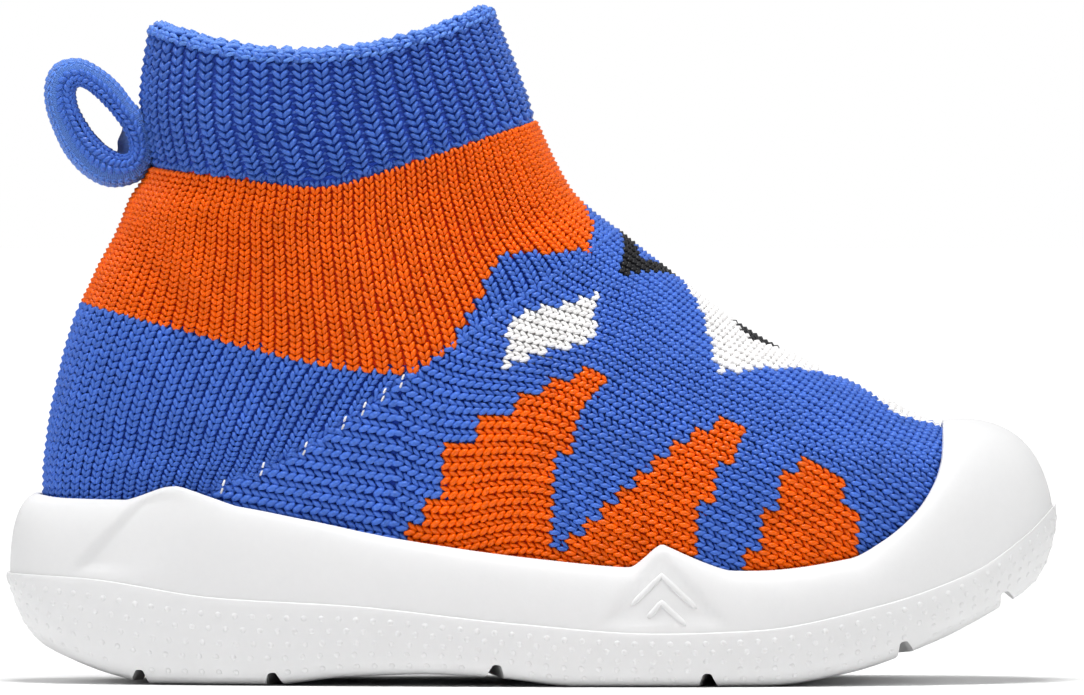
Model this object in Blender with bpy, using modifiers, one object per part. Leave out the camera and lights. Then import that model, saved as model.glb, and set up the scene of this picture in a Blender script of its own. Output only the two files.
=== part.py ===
"""A toddler's sock shoe for the right foot: a knitted sock held in a moulded rubber cup sole.

Units are metres. The toe points along +X, the outer side of the foot faces -Y and the floor is Z = 0.
One function, sock_point(turn, rise), gives the outside of the sock. The wall, the cup that holds it,
the insole and the root of the pull loop are all worked out from that function.
"""

import math
from collections import namedtuple

import bmesh
import bpy
from mathutils import Vector

# Driving dimensions
LENGTH = 0.138  # sole, heel to toe
BALL_WIDTH = 0.062  # sole at its widest
HEIGHT = 0.0896  # floor to the front of the collar
KNIT_WALL = 0.0018  # fabric of the leg, heel and foot
CUFF_WALL = 0.0026  # ribbed cuff, which is turned over and doubled
CUFF_PROUD = 0.0005  # how far the cuff stands out from the leg
TOE_SWING = 0.0030  # how far the toe curves to the inner side
ARCH_WAIST = 0.07  # share of the half width taken off the inner side at the arch
FIT_GAP = 0.0003  # space left between pieces
LIP_THICKNESS = 0.0008  # rubber at the rim of the cup
PARTING_STEP = 0.0004  # ledge on top of the dotted band
WALL_FULLNESS = 0.85  # how upright the cup wall stands before it curves in to the rim
TOE_FULLNESS = 0.27  # how much fuller the wall is over the toe
TOE_TUCK = 0.002  # how far the upright of the wall lies back over the toe
INSOLE_THICKNESS = 0.0030
STRAP_WIDTH = 0.0090
STRAP_EDGE = 0.0006  # rounding along the edges of the pull loop
TURNS = 72  # points round each section

# Sections of the sock, from its lower edge in the cup to the rim of the collar. Columns ending in x are
# percent of LENGTH from the heel, in z percent of HEIGHT, in half percent of BALL_WIDTH. The fullness is
# the power of the sine that rounds the ends, so a smaller one is squarer.
Section = namedtuple("Section", "back_x back_z side_z front_x front_z rear_half fore_half fullness")
SOCK = (
    Section(6.2, 10.4, 6.4, 93.2, 17.0, 34.5, 42.0, 0.84),
    Section(3.9, 19.0, 14.3, 96.5, 23.0, 38.0, 46.2, 0.84),
    Section(3.3, 28.5, 23.5, 96.1, 29.2, 39.0, 46.4, 0.84),
    Section(3.7, 36.9, 32.0, 93.4, 34.8, 38.6, 44.4, 0.86),
    Section(4.7, 44.7, 40.3, 88.2, 38.2, 37.8, 40.6, 0.88),
    Section(6.1, 52.4, 48.6, 80.4, 44.2, 36.8, 36.6, 0.90),
    Section(8.1, 58.6, 56.4, 71.3, 51.2, 35.8, 33.4, 0.92),
    Section(10.0, 64.6, 63.4, 62.6, 61.2, 34.9, 31.6, 0.94),
    Section(11.5, 70.6, 69.4, 54.5, 71.6, 34.2, 31.0, 0.96),
    Section(13.4, 76.4, 74.6, 50.3, 83.6, 33.4, 31.0, 0.98),
    Section(12.8, 85.6, 83.6, 48.0, 92.2, 33.0, 31.0, 1.00),
    Section(13.7, 97.0, 93.0, 46.0, 99.8, 31.8, 30.0, 1.00),
)
CUFF_RISE = 9.0
RISES = [step / 2 for step in range(2 * len(SOCK) - 1)]

# Loops of the sole below its wall, from the tread outwards. The level is 0 on the bottom line and 1 on
# the parting line.
SoleLoop = namedtuple("SoleLoop", "back_x front_x rear_half fore_half level")
SOLE = (
    SoleLoop(6.0, 93.2, 36.0, 44.6, 0.00),
    SoleLoop(2.6, 97.0, 40.6, 49.0, 0.06),
    SoleLoop(0.9, 99.0, 42.8, 51.0, 0.30),
    SoleLoop(0.1, 100.0, 43.8, 52.0, 0.70),
    SoleLoop(0.0, 100.0, 44.0, 52.2, 1.00),
)

# Lines of the sole in side view, x in percent of LENGTH from the heel and z in percent of HEIGHT
Mark = namedtuple("Mark", "x z")
BOTTOM_LINE = (
    Mark(0.0, 12.5),
    Mark(1.4, 8.0),
    Mark(3.4, 5.3),
    Mark(6.5, 3.2),
    Mark(10.0, 1.4),
    Mark(14.5, 0.0),
    Mark(25.0, 0.0),
    Mark(32.0, 1.2),
    Mark(40.0, 1.7),
    Mark(47.0, 1.2),
    Mark(54.5, 0.0),
    Mark(72.0, 0.0),
    Mark(80.0, 1.8),
    Mark(88.5, 6.3),
    Mark(92.0, 8.8),
    Mark(95.0, 11.2),
    Mark(97.5, 13.0),
    Mark(100.0, 14.5),
)
PARTING_LINE = (
    Mark(0.0, 16.0),
    Mark(7.6, 15.3),
    Mark(20.0, 12.6),
    Mark(33.0, 11.5),
    Mark(48.0, 9.1),
    Mark(62.0, 7.6),
    Mark(71.0, 8.0),
    Mark(82.5, 11.3),
    Mark(92.0, 16.4),
    Mark(97.0, 21.6),
    Mark(100.0, 26.0),
)
RIM_LINE = (
    Mark(0.0, 28.6),
    Mark(6.0, 27.0),
    Mark(14.0, 26.8),
    Mark(20.0, 26.4),
    Mark(28.5, 24.2),
    Mark(37.5, 21.4),
    Mark(51.0, 18.5),
    Mark(60.0, 17.3),
    Mark(70.8, 16.9),
    Mark(80.0, 18.6),
    Mark(83.0, 20.9),
    Mark(86.0, 24.6),
    Mark(87.8, 28.4),
    Mark(88.8, 32.5),
    Mark(89.2, 40.0),
)
# Peaks that stand on the rim line: place, height and how far each flank runs
Peak = namedtuple("Peak", "x rise run_back run_front")
PEAKS = (
    Peak(16.1, 2.5, 3.8, 5.6),
    Peak(62.2, 3.6, 2.7, 6.4),
)

# Grooves across the tread, x in percent of LENGTH. The sweep is how far, in percent, the ends of the
# groove lie ahead of its middle.
Groove = namedtuple("Groove", "x sweep")
GROOVES = (
    Groove(13.9, -3.0),
    Groove(27.1, -3.0),
    Groove(44.7, 3.0),
    Groove(68.7, -3.0),
    Groove(84.2, 3.0),
    Groove(95.1, 1.5),
)
GROOVE_MOUTH = 0.0026
GROOVE_TOP = 0.0015
GROOVE_DEPTH = 0.0018
GROOVE_BELOW = 0.0060  # how far each cutter hangs below the tread

# Outline of the pull loop and its hole in side view, in millimetres behind the cuff seam and above it
Strap = namedtuple("Strap", "behind above")
STRAP_OUTER = (
    Strap(4.0, 9.7),
    Strap(7.4, 12.7),
    Strap(11.2, 13.3),
    Strap(13.9, 9.6),
    Strap(12.9, 3.9),
    Strap(9.8, -1.4),
    Strap(6.0, -3.9),
)
STRAP_HOLE = (
    Strap(9.9, 8.7),
    Strap(6.1, 6.0),
    Strap(4.4, 1.0),
    Strap(8.4, 3.9),
)
STRAP_ROOT = (6.6, 3.4, 0.0, -2.4)  # heights along the cuff where the loop is sewn down


def at_x(percent):
    return (percent / 100 - 0.5) * LENGTH


def at_z(percent):
    return percent / 100 * HEIGHT


def ease(value, low, high):
    """0 below low, 1 above high and a smooth slope between."""
    part = min(max((value - low) / (high - low), 0.0), 1.0)
    return part * part * (3 - 2 * part)


def read_line(marks, x):
    """Height of a side-view line at x: a smooth curve that never swings past its marks."""
    percent = (x / LENGTH + 0.5) * 100
    percent = min(max(percent, marks[0].x), marks[-1].x)
    last = len(marks) - 2
    here = max(k for k in range(last + 1) if marks[k].x <= percent)
    climbs = [(b.z - a.z) / (b.x - a.x) for a, b in zip(marks, marks[1:])]

    def tangent(k):
        before = climbs[max(k - 1, 0)]
        after = climbs[min(k, last)]
        if before * after <= 0:
            return 0.0
        return 2 * before * after / (before + after)

    a, b = marks[here], marks[here + 1]
    run = b.x - a.x
    t = (percent - a.x) / run
    height = a.z * (1 + 2 * t) * (1 - t) ** 2 + b.z * t * t * (3 - 2 * t)
    height += run * (tangent(here) * t * (1 - t) ** 2 - tangent(here + 1) * t * t * (1 - t))
    return at_z(height)


def rim_height(x):
    """The rim line with its peaks."""
    height = read_line(RIM_LINE, x)
    for peak in PEAKS:
        away = x - at_x(peak.x)
        run = (peak.run_front if away > 0 else peak.run_back) * LENGTH / 100
        height += at_z(peak.rise) * max(0.0, 1 - abs(away) / run) ** 1.15
    return height


def curve_foot(x, y):
    """Sideways place of a point after the foot's left or right curve."""
    if y > 0:
        y *= 1 - ARCH_WAIST * ease(x, at_x(22), at_x(42)) * (1 - ease(x, at_x(42), at_x(62)))
    return y + TOE_SWING * ease(x, at_x(70), at_x(112))


def loop_xy(turn, back, front, rear_half, fore_half, fullness):
    """A point on a closed loop in plan. Turn 0 is the toe end and pi the heel end."""
    along = (1 + math.cos(turn)) / 2
    x = back + (front - back) * along
    half = rear_half + (fore_half - rear_half) * ease(along, 0.25, 0.72)
    y = math.copysign(half * abs(math.sin(turn)) ** fullness, math.sin(turn))
    return x, curve_foot(x, y), along


def section_at(rise):
    """The section of the sock at any rise: a smooth curve through the rows of the table."""
    here = min(int(rise), len(SOCK) - 2)
    t = rise - here
    b, c = SOCK[here], SOCK[here + 1]
    a = SOCK[here - 1] if here > 0 else [2 * m - n for m, n in zip(b, c)]
    d = SOCK[here + 2] if here + 2 < len(SOCK) else [2 * n - m for m, n in zip(b, c)]
    columns = []
    for p, q, r, s in zip(a, b, c, d):
        columns.append(q + t / 2 * (r - p + t * (2 * p - 5 * q + 4 * r - s + t * (3 * (q - r) + s - p))))
    return Section(*columns)


def sock_point(turn, rise, inset=0.0):
    """A point on the outside of the sock, or that far inside it in plan."""
    row = section_at(rise)
    grow = CUFF_PROUD * ease(rise, CUFF_RISE - 0.1, CUFF_RISE + 0.4) - inset
    x, y, along = loop_xy(
        turn,
        at_x(row.back_x) - grow,
        at_x(row.front_x) + grow,
        row.rear_half / 100 * BALL_WIDTH + grow,
        row.fore_half / 100 * BALL_WIDTH + grow,
        row.fullness,
    )
    height = row.back_z * (2 * along - 1) * (along - 1)
    height += row.side_z * 4 * along * (1 - along)
    height += row.front_z * along * (2 * along - 1)
    return Vector((x, y, at_z(height)))


def sock_offset(turn, rise, out):
    """A point that far outside the sock, square to its surface."""
    step = 0.02
    low, high = max(rise - step, 0.0), min(rise + step, len(SOCK) - 1.0)
    round_it = sock_point(turn + step, rise) - sock_point(turn - step, rise)
    up_it = sock_point(turn, high) - sock_point(turn, low)
    return sock_point(turn, rise) + round_it.cross(up_it).normalized() * out


def rim_rise(turn):
    """The rise at which the sock crosses the rim of the cup."""
    low, high = 0.0, 6.0
    for _ in range(40):
        middle = (low + high) / 2
        point = sock_point(turn, middle)
        if point.z < rim_height(point.x):
            low = middle
        else:
            high = middle
    return low


def turn_at_rim(x):
    """The turn at which the rim of the cup reaches x, on the side of positive turns."""
    low, high = 0.0, math.pi
    for _ in range(40):
        middle = (low + high) / 2
        if sock_point(middle, rim_rise(middle)).x > x:
            low = middle
        else:
            high = middle
    return low


def turns_round():
    """Turns spaced evenly, with the nearest ones moved to the corners of the peaks."""
    half = [math.pi * k / (TURNS // 2) for k in range(TURNS // 2 + 1)]
    for peak in PEAKS:
        for corner in (peak.x - peak.run_back, peak.x, peak.x + peak.run_front * 0.55):
            wanted = turn_at_rim(at_x(corner))
            near = min(range(1, len(half) - 1), key=lambda k: abs(half[k] - wanted))
            half[near] = wanted
    return half + [-turn for turn in reversed(half[1:-1])]


def fresh_collection(name):
    made = bpy.data.collections.new(name)
    bpy.context.scene.collection.children.link(made)
    return made


def plain_material(name, color, roughness):
    made = bpy.data.materials.new(name)
    made.use_nodes = True
    shader = made.node_tree.nodes["Principled BSDF"]
    shader.inputs["Base Color"].default_value = (*color, 1.0)
    shader.inputs["Roughness"].default_value = roughness
    return made


def bridge_across(bm, ring):
    """Closes a loop with strips from one side of the foot to the other."""
    count = len(ring)
    for k in range(count // 2):
        corners = [ring[k], ring[k + 1], ring[(count - k - 1) % count], ring[(count - k) % count]]
        bm.faces.new(list(dict.fromkeys(corners)))


def loft(name, rings, collection, close_ends=None):
    """A surface through rings of points that all hold the same count."""
    bm = bmesh.new()
    grid = [[bm.verts.new(point) for point in ring] for ring in rings]
    count = len(rings[0])
    for lower, upper in zip(grid, grid[1:]):
        for k in range(count):
            after = (k + 1) % count
            bm.faces.new((lower[k], lower[after], upper[after], upper[k]))
    if close_ends:
        close_ends(bm, grid[0])
        close_ends(bm, grid[-1])
    bmesh.ops.recalc_face_normals(bm, faces=bm.faces)
    mesh = bpy.data.meshes.new(name)
    bm.to_mesh(mesh)
    bm.free()
    made = bpy.data.objects.new(name, mesh)
    collection.objects.link(made)
    return made


def make_upper(turns, collection):
    """The sock: an open surface through the sections, given its wall inwards."""
    rings = [[sock_point(turn, rise) for turn in turns] for rise in RISES]
    upper = loft("upper", rings, collection)
    cuff = upper.vertex_groups.new(name="wall")
    for k, rise in enumerate(RISES):
        share = KNIT_WALL / CUFF_WALL
        share += (1 - share) * ease(rise, CUFF_RISE - 0.1, CUFF_RISE + 0.6)
        cuff.add(range(k * TURNS, (k + 1) * TURNS), share, "REPLACE")
    wall = upper.modifiers.new("wall", "SOLIDIFY")
    wall.thickness = CUFF_WALL
    wall.offset = -1.0
    wall.use_even_offset = True
    wall.vertex_group = cuff.name
    return upper


def sole_ring(turns, row, shrink=0.0, lift=0.0):
    """A loop of the sole below its wall."""
    ring = []
    for turn in turns:
        x, y, _ = loop_xy(
            turn,
            at_x(row.back_x) + shrink,
            at_x(row.front_x) - shrink,
            row.rear_half / 100 * BALL_WIDTH - shrink,
            row.fore_half / 100 * BALL_WIDTH - shrink,
            SOCK[0].fullness,
        )
        low, high = read_line(BOTTOM_LINE, x), read_line(PARTING_LINE, x)
        ring.append(Vector((x, y, low + (high - low) * row.level + lift)))
    return ring


def make_sole(turns, collection, cutters):
    """The cup: tread, dotted band, parting step, wall up to the rim, then down inside to the floor."""
    rings = [sole_ring(turns, row) for row in SOLE]
    ledge = sole_ring(turns, SOLE[-1], PARTING_STEP, PARTING_STEP / 2)
    rims = [rim_rise(turn) for turn in turns]
    lips = [sock_offset(turn, rim, FIT_GAP + LIP_THICKNESS) for turn, rim in zip(turns, rims)]
    rings.append(ledge)
    for share in (0.25, 0.5, 0.75, 1.0):
        ring = []
        for turn, foot, lip in zip(turns, ledge, lips):
            over_toe = 1 - ease(abs(turn), 0.25, 0.90)
            upright = (lip.z - foot.z) * (WALL_FULLNESS + TOE_FULLNESS * over_toe)
            bow = Vector((foot.x - TOE_TUCK * over_toe, foot.y, foot.z + upright))
            ring.append(foot * (1 - share) ** 2 + bow * 2 * share * (1 - share) + lip * share**2)
        rings.append(ring)
    for share in (1.0, 0.88, 0.76, 0.64, 0.52, 0.42, 0.32, 0.25, 0.17, 0.09, 0.0):
        rings.append([sock_offset(turn, rim * share, FIT_GAP) for turn, rim in zip(turns, rims)])
    for point in rings[-1]:
        point.z -= FIT_GAP
    sole = loft("sole", rings, collection, bridge_across)
    for number, groove in enumerate(GROOVES):
        cut = sole.modifiers.new(f"groove {number + 1}", "BOOLEAN")
        cut.operation = "DIFFERENCE"
        cut.solver = "EXACT"
        cut.object = groove_cutter(f"groove_cutter_{number + 1}", groove, cutters)
    return sole


def groove_cutter(name, groove, collection):
    """A bar that bends at the middle of the foot and stands square to the tread."""
    mouth, top = GROOVE_MOUTH / 2, GROOVE_TOP / 2
    profile = (
        (-mouth * 1.6, -GROOVE_BELOW),
        (-mouth, 0.0),
        (-top, GROOVE_DEPTH * 0.75),
        (-top * 0.5, GROOVE_DEPTH),
        (top * 0.5, GROOVE_DEPTH),
        (top, GROOVE_DEPTH * 0.75),
        (mouth, 0.0),
        (mouth * 1.6, -GROOVE_BELOW),
    )
    x = at_x(groove.x)
    reach = 0.002
    slope = math.atan2(read_line(BOTTOM_LINE, x + reach) - read_line(BOTTOM_LINE, x - reach), 2 * reach)
    rings = []
    for side, ahead in ((-0.7, groove.sweep), (0.0, 0.0), (0.7, groove.sweep)):
        ring = []
        for across, up in profile:
            over = across * math.cos(slope) - up * math.sin(slope)
            rise = across * math.sin(slope) + up * math.cos(slope)
            ahead_x = ahead / 100 * LENGTH
            lift = ahead_x * math.tan(slope)
            ring.append(Vector((x + over + ahead_x, side * BALL_WIDTH, read_line(BOTTOM_LINE, x) + rise + lift)))
        rings.append(ring)
    cutter = loft(name, rings, collection, lambda bm, ring: bm.faces.new(ring))
    cutter.hide_render = True
    cutter.display_type = "WIRE"
    return cutter


def make_insole(turns, collection):
    """A loose pad on the floor of the cup, inside the sock."""
    side = KNIT_WALL + 2 * FIT_GAP
    steps = ((side, 0.0), (side, 0.7), (side + 0.0003, 0.9), (side + 0.0010, 1.0))
    rings = []
    for inset, share in steps:
        lift = Vector((0, 0, INSOLE_THICKNESS * share))
        rings.append([sock_point(turn, 0.0, inset) + lift for turn in turns])
    return loft("insole", rings, collection, bridge_across)


def seam_back(height):
    """How far behind the origin the back of the sock lies at this height."""
    low, high = CUFF_RISE - 3, CUFF_RISE + 2
    for _ in range(40):
        middle = (low + high) / 2
        if sock_point(math.pi, middle).z < height:
            low = middle
        else:
            high = middle
    return sock_point(math.pi, low).x


def add_spline(curve, points, corners=()):
    """A closed spline that is smooth but for the points listed as corners."""
    spline = curve.splines.new("BEZIER")
    spline.bezier_points.add(len(points) - 1)
    spline.use_cyclic_u = True
    for k, (x, z) in enumerate(points):
        knot = spline.bezier_points[k]
        knot.co = (x, z, 0)
        kind = "VECTOR" if k in corners else "AUTO"
        knot.handle_left_type = kind
        knot.handle_right_type = kind


def make_pull_loop(collection):
    """A strap bent round a slot, its root following the back of the cuff."""
    seam = sock_point(math.pi, CUFF_RISE)
    outer = [(seam.x - row.behind / 1000, seam.z + row.above / 1000) for row in STRAP_OUTER]
    hole = [(seam.x - row.behind / 1000, seam.z + row.above / 1000) for row in STRAP_HOLE]
    root = []
    for above in STRAP_ROOT:
        height = seam.z + above / 1000
        root.append((seam_back(height) - FIT_GAP, height))
    curve = bpy.data.curves.new("pull_loop", "CURVE")
    curve.dimensions = "2D"
    curve.fill_mode = "BOTH"
    curve.resolution_u = 5
    curve.extrude = STRAP_WIDTH / 2 - STRAP_EDGE
    curve.bevel_depth = STRAP_EDGE
    curve.offset = -STRAP_EDGE
    curve.bevel_resolution = 1
    add_spline(curve, outer + root[::-1], corners=(len(outer), len(outer) + len(root) - 1))
    add_spline(curve, hole)
    made = bpy.data.objects.new("pull_loop", curve)
    made.rotation_euler = (math.pi / 2, 0, 0)
    collection.objects.link(made)
    return made


def main():
    for old in list(bpy.data.objects):
        bpy.data.objects.remove(old, do_unlink=True)
    shoe = fresh_collection("sock_shoe")
    cutters = fresh_collection("cutters")
    turns = turns_round()
    pieces = (
        (make_sole(turns, shoe, cutters), plain_material("sole rubber", (0.80, 0.80, 0.79), 0.45)),
        (make_upper(turns, shoe), plain_material("blue knit", (0.045, 0.10, 0.42), 0.9)),
        (make_insole(turns, shoe), plain_material("insole cloth", (0.55, 0.55, 0.53), 0.9)),
        (make_pull_loop(shoe), plain_material("loop knit", (0.06, 0.13, 0.48), 0.9)),
    )
    for piece, material in pieces:
        piece.data.materials.append(material)


main()
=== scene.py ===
# %% [markdown]
# # A knitted sock shoe
# The object is a toddler's sock shoe: a knitted sock that is held in a white moulded rubber cup.
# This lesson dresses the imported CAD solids. The knit is made of real stitches, because on this shoe the
# stitches are large enough to be seen one by one, and a bump map would look flat along the outline.

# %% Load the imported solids
import math

import bmesh
import bpy
import numpy as np
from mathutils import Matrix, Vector
from mathutils.bvhtree import BVHTree
from mathutils.kdtree import KDTree


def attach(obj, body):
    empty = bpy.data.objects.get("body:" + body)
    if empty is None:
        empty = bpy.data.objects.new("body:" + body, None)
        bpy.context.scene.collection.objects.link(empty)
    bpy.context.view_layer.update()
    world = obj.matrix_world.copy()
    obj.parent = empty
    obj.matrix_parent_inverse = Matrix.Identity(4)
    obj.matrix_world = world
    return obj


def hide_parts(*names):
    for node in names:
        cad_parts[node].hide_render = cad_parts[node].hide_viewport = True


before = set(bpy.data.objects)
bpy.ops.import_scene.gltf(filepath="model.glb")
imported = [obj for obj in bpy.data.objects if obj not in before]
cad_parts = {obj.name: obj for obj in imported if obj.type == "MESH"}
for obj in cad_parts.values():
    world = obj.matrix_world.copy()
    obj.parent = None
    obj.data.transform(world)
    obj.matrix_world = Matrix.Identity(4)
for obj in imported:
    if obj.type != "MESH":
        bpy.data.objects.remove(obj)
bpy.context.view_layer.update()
print("CAD nodes:", sorted(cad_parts))

# %% [markdown]
# ## The shape of the sock
# The sock is a stack of rounded sections, from its lower edge in the cup to the rim of the collar. One
# function gives a point on it from a turn round the foot and a rise up the stack. The numbers are the
# same as in the solids, so everything that is placed with this function lies on them. All lengths here
# are in millimetres, and become metres when a mesh is made.

# %% Sections of the sock
MM = 0.001
LENGTH = 138.0
BALL_WIDTH = 62.0
HEIGHT = 89.6
KNIT_WALL = 1.8
CUFF_WALL = 2.6
CUFF_PROUD = 0.5
TOE_SWING = 3.0
ARCH_WAIST = 0.07
CUFF_RISE = 9.0
TOP_RISE = 11.0
# Columns: back x, back z, side z, front x, front z, rear half width, fore half width, fullness
SOCK = np.array((
    (6.2, 10.4, 6.4, 93.2, 17.0, 34.5, 42.0, 0.84),
    (3.9, 19.0, 14.3, 96.5, 23.0, 38.0, 46.2, 0.84),
    (3.3, 28.5, 23.5, 96.1, 29.2, 39.0, 46.4, 0.84),
    (3.7, 36.9, 32.0, 93.4, 34.8, 38.6, 44.4, 0.86),
    (4.7, 44.7, 40.3, 88.2, 38.2, 37.8, 40.6, 0.88),
    (6.1, 52.4, 48.6, 80.4, 44.2, 36.8, 36.6, 0.90),
    (8.1, 58.6, 56.4, 71.3, 51.2, 35.8, 33.4, 0.92),
    (10.0, 64.6, 63.4, 62.6, 61.2, 34.9, 31.6, 0.94),
    (11.5, 70.6, 69.4, 54.5, 71.6, 34.2, 31.0, 0.96),
    (13.4, 76.4, 74.6, 50.3, 83.6, 33.4, 31.0, 0.98),
    (12.8, 85.6, 83.6, 48.0, 92.2, 33.0, 31.0, 1.00),
    (13.7, 97.0, 93.0, 46.0, 99.8, 31.8, 30.0, 1.00),
))


def at_x(percent):
    return (percent / 100 - 0.5) * LENGTH


def at_z(percent):
    return percent / 100 * HEIGHT


def ease(value, low, high):
    """0 below low, 1 above high and a smooth slope between."""
    part = np.clip((value - low) / (high - low), 0.0, 1.0)
    return part * part * (3 - 2 * part)


def curve_foot(x, y):
    """Sideways place of a point after the foot's own curve."""
    waist = ease(x, at_x(22), at_x(42)) * (1 - ease(x, at_x(42), at_x(62)))
    y = np.where(y > 0, y * (1 - ARCH_WAIST * waist), y)
    return y + TOE_SWING * ease(x, at_x(70), at_x(112))


def loop_xy(turn, back, front, rear_half, fore_half, fullness):
    """A point on a closed loop in plan. Turn 0 is the toe end and pi the heel end."""
    along = (1 + np.cos(turn)) / 2
    x = back + (front - back) * along
    half = rear_half + (fore_half - rear_half) * ease(along, 0.25, 0.72)
    y = np.sign(np.sin(turn)) * half * np.abs(np.sin(turn)) ** fullness
    return x, curve_foot(x, y), along


def curve_through(t, p, q, r, s):
    """A row between q and r, on a smooth curve through four rows."""
    return q + t / 2 * (r - p + t * (2 * p - 5 * q + 4 * r - s + t * (3 * (q - r) + s - p)))


def smooth_rows(table, place):
    """Rows read between the rows of an open table."""
    padded = np.vstack((2 * table[0] - table[1], table, 2 * table[-1] - table[-2]))
    here = np.clip(np.floor(place).astype(int), 0, len(table) - 2)
    return curve_through((place - here)[..., None], *(padded[here + k] for k in range(4)))


def sock_point(turn, rise, inset=0.0):
    """Points on the outside of the sock, or that far inside it in plan."""
    turn, rise = np.broadcast_arrays(np.asarray(turn, float), np.asarray(rise, float))
    row = np.moveaxis(smooth_rows(SOCK, rise), -1, 0)
    grow = CUFF_PROUD * ease(rise, CUFF_RISE - 0.1, CUFF_RISE + 0.4) - inset
    rear, fore = row[5] / 100 * BALL_WIDTH + grow, row[6] / 100 * BALL_WIDTH + grow
    x, y, along = loop_xy(turn, at_x(row[0]) - grow, at_x(row[3]) + grow, rear, fore, row[7])
    height = row[1] * (2 * along - 1) * (along - 1) + row[2] * 4 * along * (1 - along)
    height = height + row[4] * along * (2 * along - 1)
    return np.stack((x, y, at_z(height)), -1)


def unit(vectors):
    return vectors / np.maximum(np.linalg.norm(vectors, axis=-1, keepdims=True), 1e-9)


def sock_normal(turn, rise):
    """The outward direction of the sock's surface."""
    step = 0.02
    around = sock_point(turn + step, rise) - sock_point(turn - step, rise)
    low, high = np.maximum(rise - step, 0.0), np.minimum(rise + step, TOP_RISE)
    return unit(np.cross(around, sock_point(turn, high) - sock_point(turn, low)))


print("Sock from", sock_point(0.0, 0.0).round(1), "to", sock_point(0.0, TOP_RISE).round(1))

# %% [markdown]
# ## The lines of the cup
# In side view the cup has a bottom line, a parting line on top of its dotted band, and a rim with two
# small peaks. Each is a table of marks, read with a curve that never swings past them.

# %% Lines of the cup, x in percent from the heel and z in percent of the height
BOTTOM_LINE = (
    (0.0, 12.5), (1.4, 8.0), (3.4, 5.3), (6.5, 3.2), (10.0, 1.4), (14.5, 0.0), (25.0, 0.0), (32.0, 1.2),
    (40.0, 1.7), (47.0, 1.2), (54.5, 0.0), (72.0, 0.0), (80.0, 1.8), (88.5, 6.3), (92.0, 8.8),
    (95.0, 11.2), (97.5, 13.0), (100.0, 14.5),
)
PARTING_LINE = (
    (0.0, 16.0), (7.6, 15.3), (20.0, 12.6), (33.0, 11.5), (48.0, 9.1), (62.0, 7.6), (71.0, 8.0),
    (82.5, 11.3), (92.0, 16.4), (97.0, 21.6), (100.0, 26.0),
)
RIM_LINE = (
    (0.0, 28.6), (6.0, 27.0), (14.0, 26.8), (20.0, 26.4), (28.5, 24.2), (37.5, 21.4), (51.0, 18.5),
    (60.0, 17.3), (70.8, 16.9), (80.0, 18.6), (83.0, 20.9), (86.0, 24.6), (87.8, 28.4), (88.8, 32.5),
    (89.2, 40.0),
)
# Peaks on the rim: place, height, run of the back flank and of the front flank, rounding of the tip in mm
PEAKS = ((16.1, 2.5, 3.8, 5.6, 1.6), (62.2, 3.6, 2.7, 6.4, 0.4))


def read_line(marks, x):
    """Height of a side-view line at x."""
    marks = np.asarray(marks)
    percent = np.clip((np.asarray(x) / LENGTH + 0.5) * 100, marks[0, 0], marks[-1, 0])
    here = np.clip(np.searchsorted(marks[:, 0], percent, side="right") - 1, 0, len(marks) - 2)
    climbs = np.diff(marks[:, 1]) / np.diff(marks[:, 0])
    before, after = np.append(climbs[:1], climbs), np.append(climbs, climbs[-1:])
    both = before * after
    tangent = np.where(both > 0, 2 * both / np.where(both > 0, before + after, 1.0), 0.0)
    run = np.diff(marks[:, 0])[here]
    t = (percent - marks[here, 0]) / run
    height = marks[here, 1] * (1 + 2 * t) * (1 - t) ** 2 + marks[here + 1, 1] * t * t * (3 - 2 * t)
    height = height + run * (tangent[here] * t * (1 - t) ** 2 - tangent[here + 1] * t * t * (1 - t))
    return at_z(height)


def rim_height(x):
    """The rim line with its peaks."""
    height = read_line(RIM_LINE, x)
    for place, rise, run_back, run_front, tip in PEAKS:
        away = x - at_x(place)
        run = np.where(away > 0, run_front, run_back) * LENGTH / 100
        off = np.sqrt(away * away + tip * tip) - tip * 0.6
        height = height + at_z(rise) * np.maximum(0.0, 1 - off / run) ** 1.25
    return height


HALVINGS = 40  # steps of a search that halves its range each time
HIGHEST_RIM = 6.0


def rim_rise(turn):
    """The rise at which the sock crosses the rim of the cup."""
    low, high = np.zeros_like(turn), np.full_like(turn, HIGHEST_RIM)
    for _ in range(HALVINGS):
        middle = (low + high) / 2
        point = sock_point(turn, middle)
        under = point[..., 2] < rim_height(point[..., 0])
        low, high = np.where(under, middle, low), np.where(under, high, middle)
    return low


print("Rim at mid foot:", round(float(rim_height(0.0)), 2), "mm")

# %% [markdown]
# ## Camera, light and floor
# The photograph looks straight at the outer side through a long lens, from a little above the floor.
# A large soft light hangs over the shoe, with a fill in front, so the white rubber keeps its edges
# against the white floor.

# %% Camera
SPAN = 142.6  # width of the picture at the shoe
DISTANCE = 4000.0
LOOK_AT = (1.4, 0.0, 43.9)
LOOK_DOWN = math.radians(1.0)
SENSOR = 36.0

camera_data = bpy.data.cameras.new("camera")
camera_data.sensor_width = SENSOR
camera_data.lens = SENSOR * DISTANCE / SPAN
camera_data.clip_start = 0.05
camera = bpy.data.objects.new("camera", camera_data)
camera.location = (
    LOOK_AT[0] * MM,
    -DISTANCE * math.cos(LOOK_DOWN) * MM,
    (LOOK_AT[2] + DISTANCE * math.sin(LOOK_DOWN)) * MM,
)
camera.rotation_euler = (math.pi / 2 - LOOK_DOWN, 0, 0)
bpy.context.scene.collection.objects.link(camera)
bpy.context.scene.camera = camera
print("Lens", round(camera_data.lens), "mm")

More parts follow.
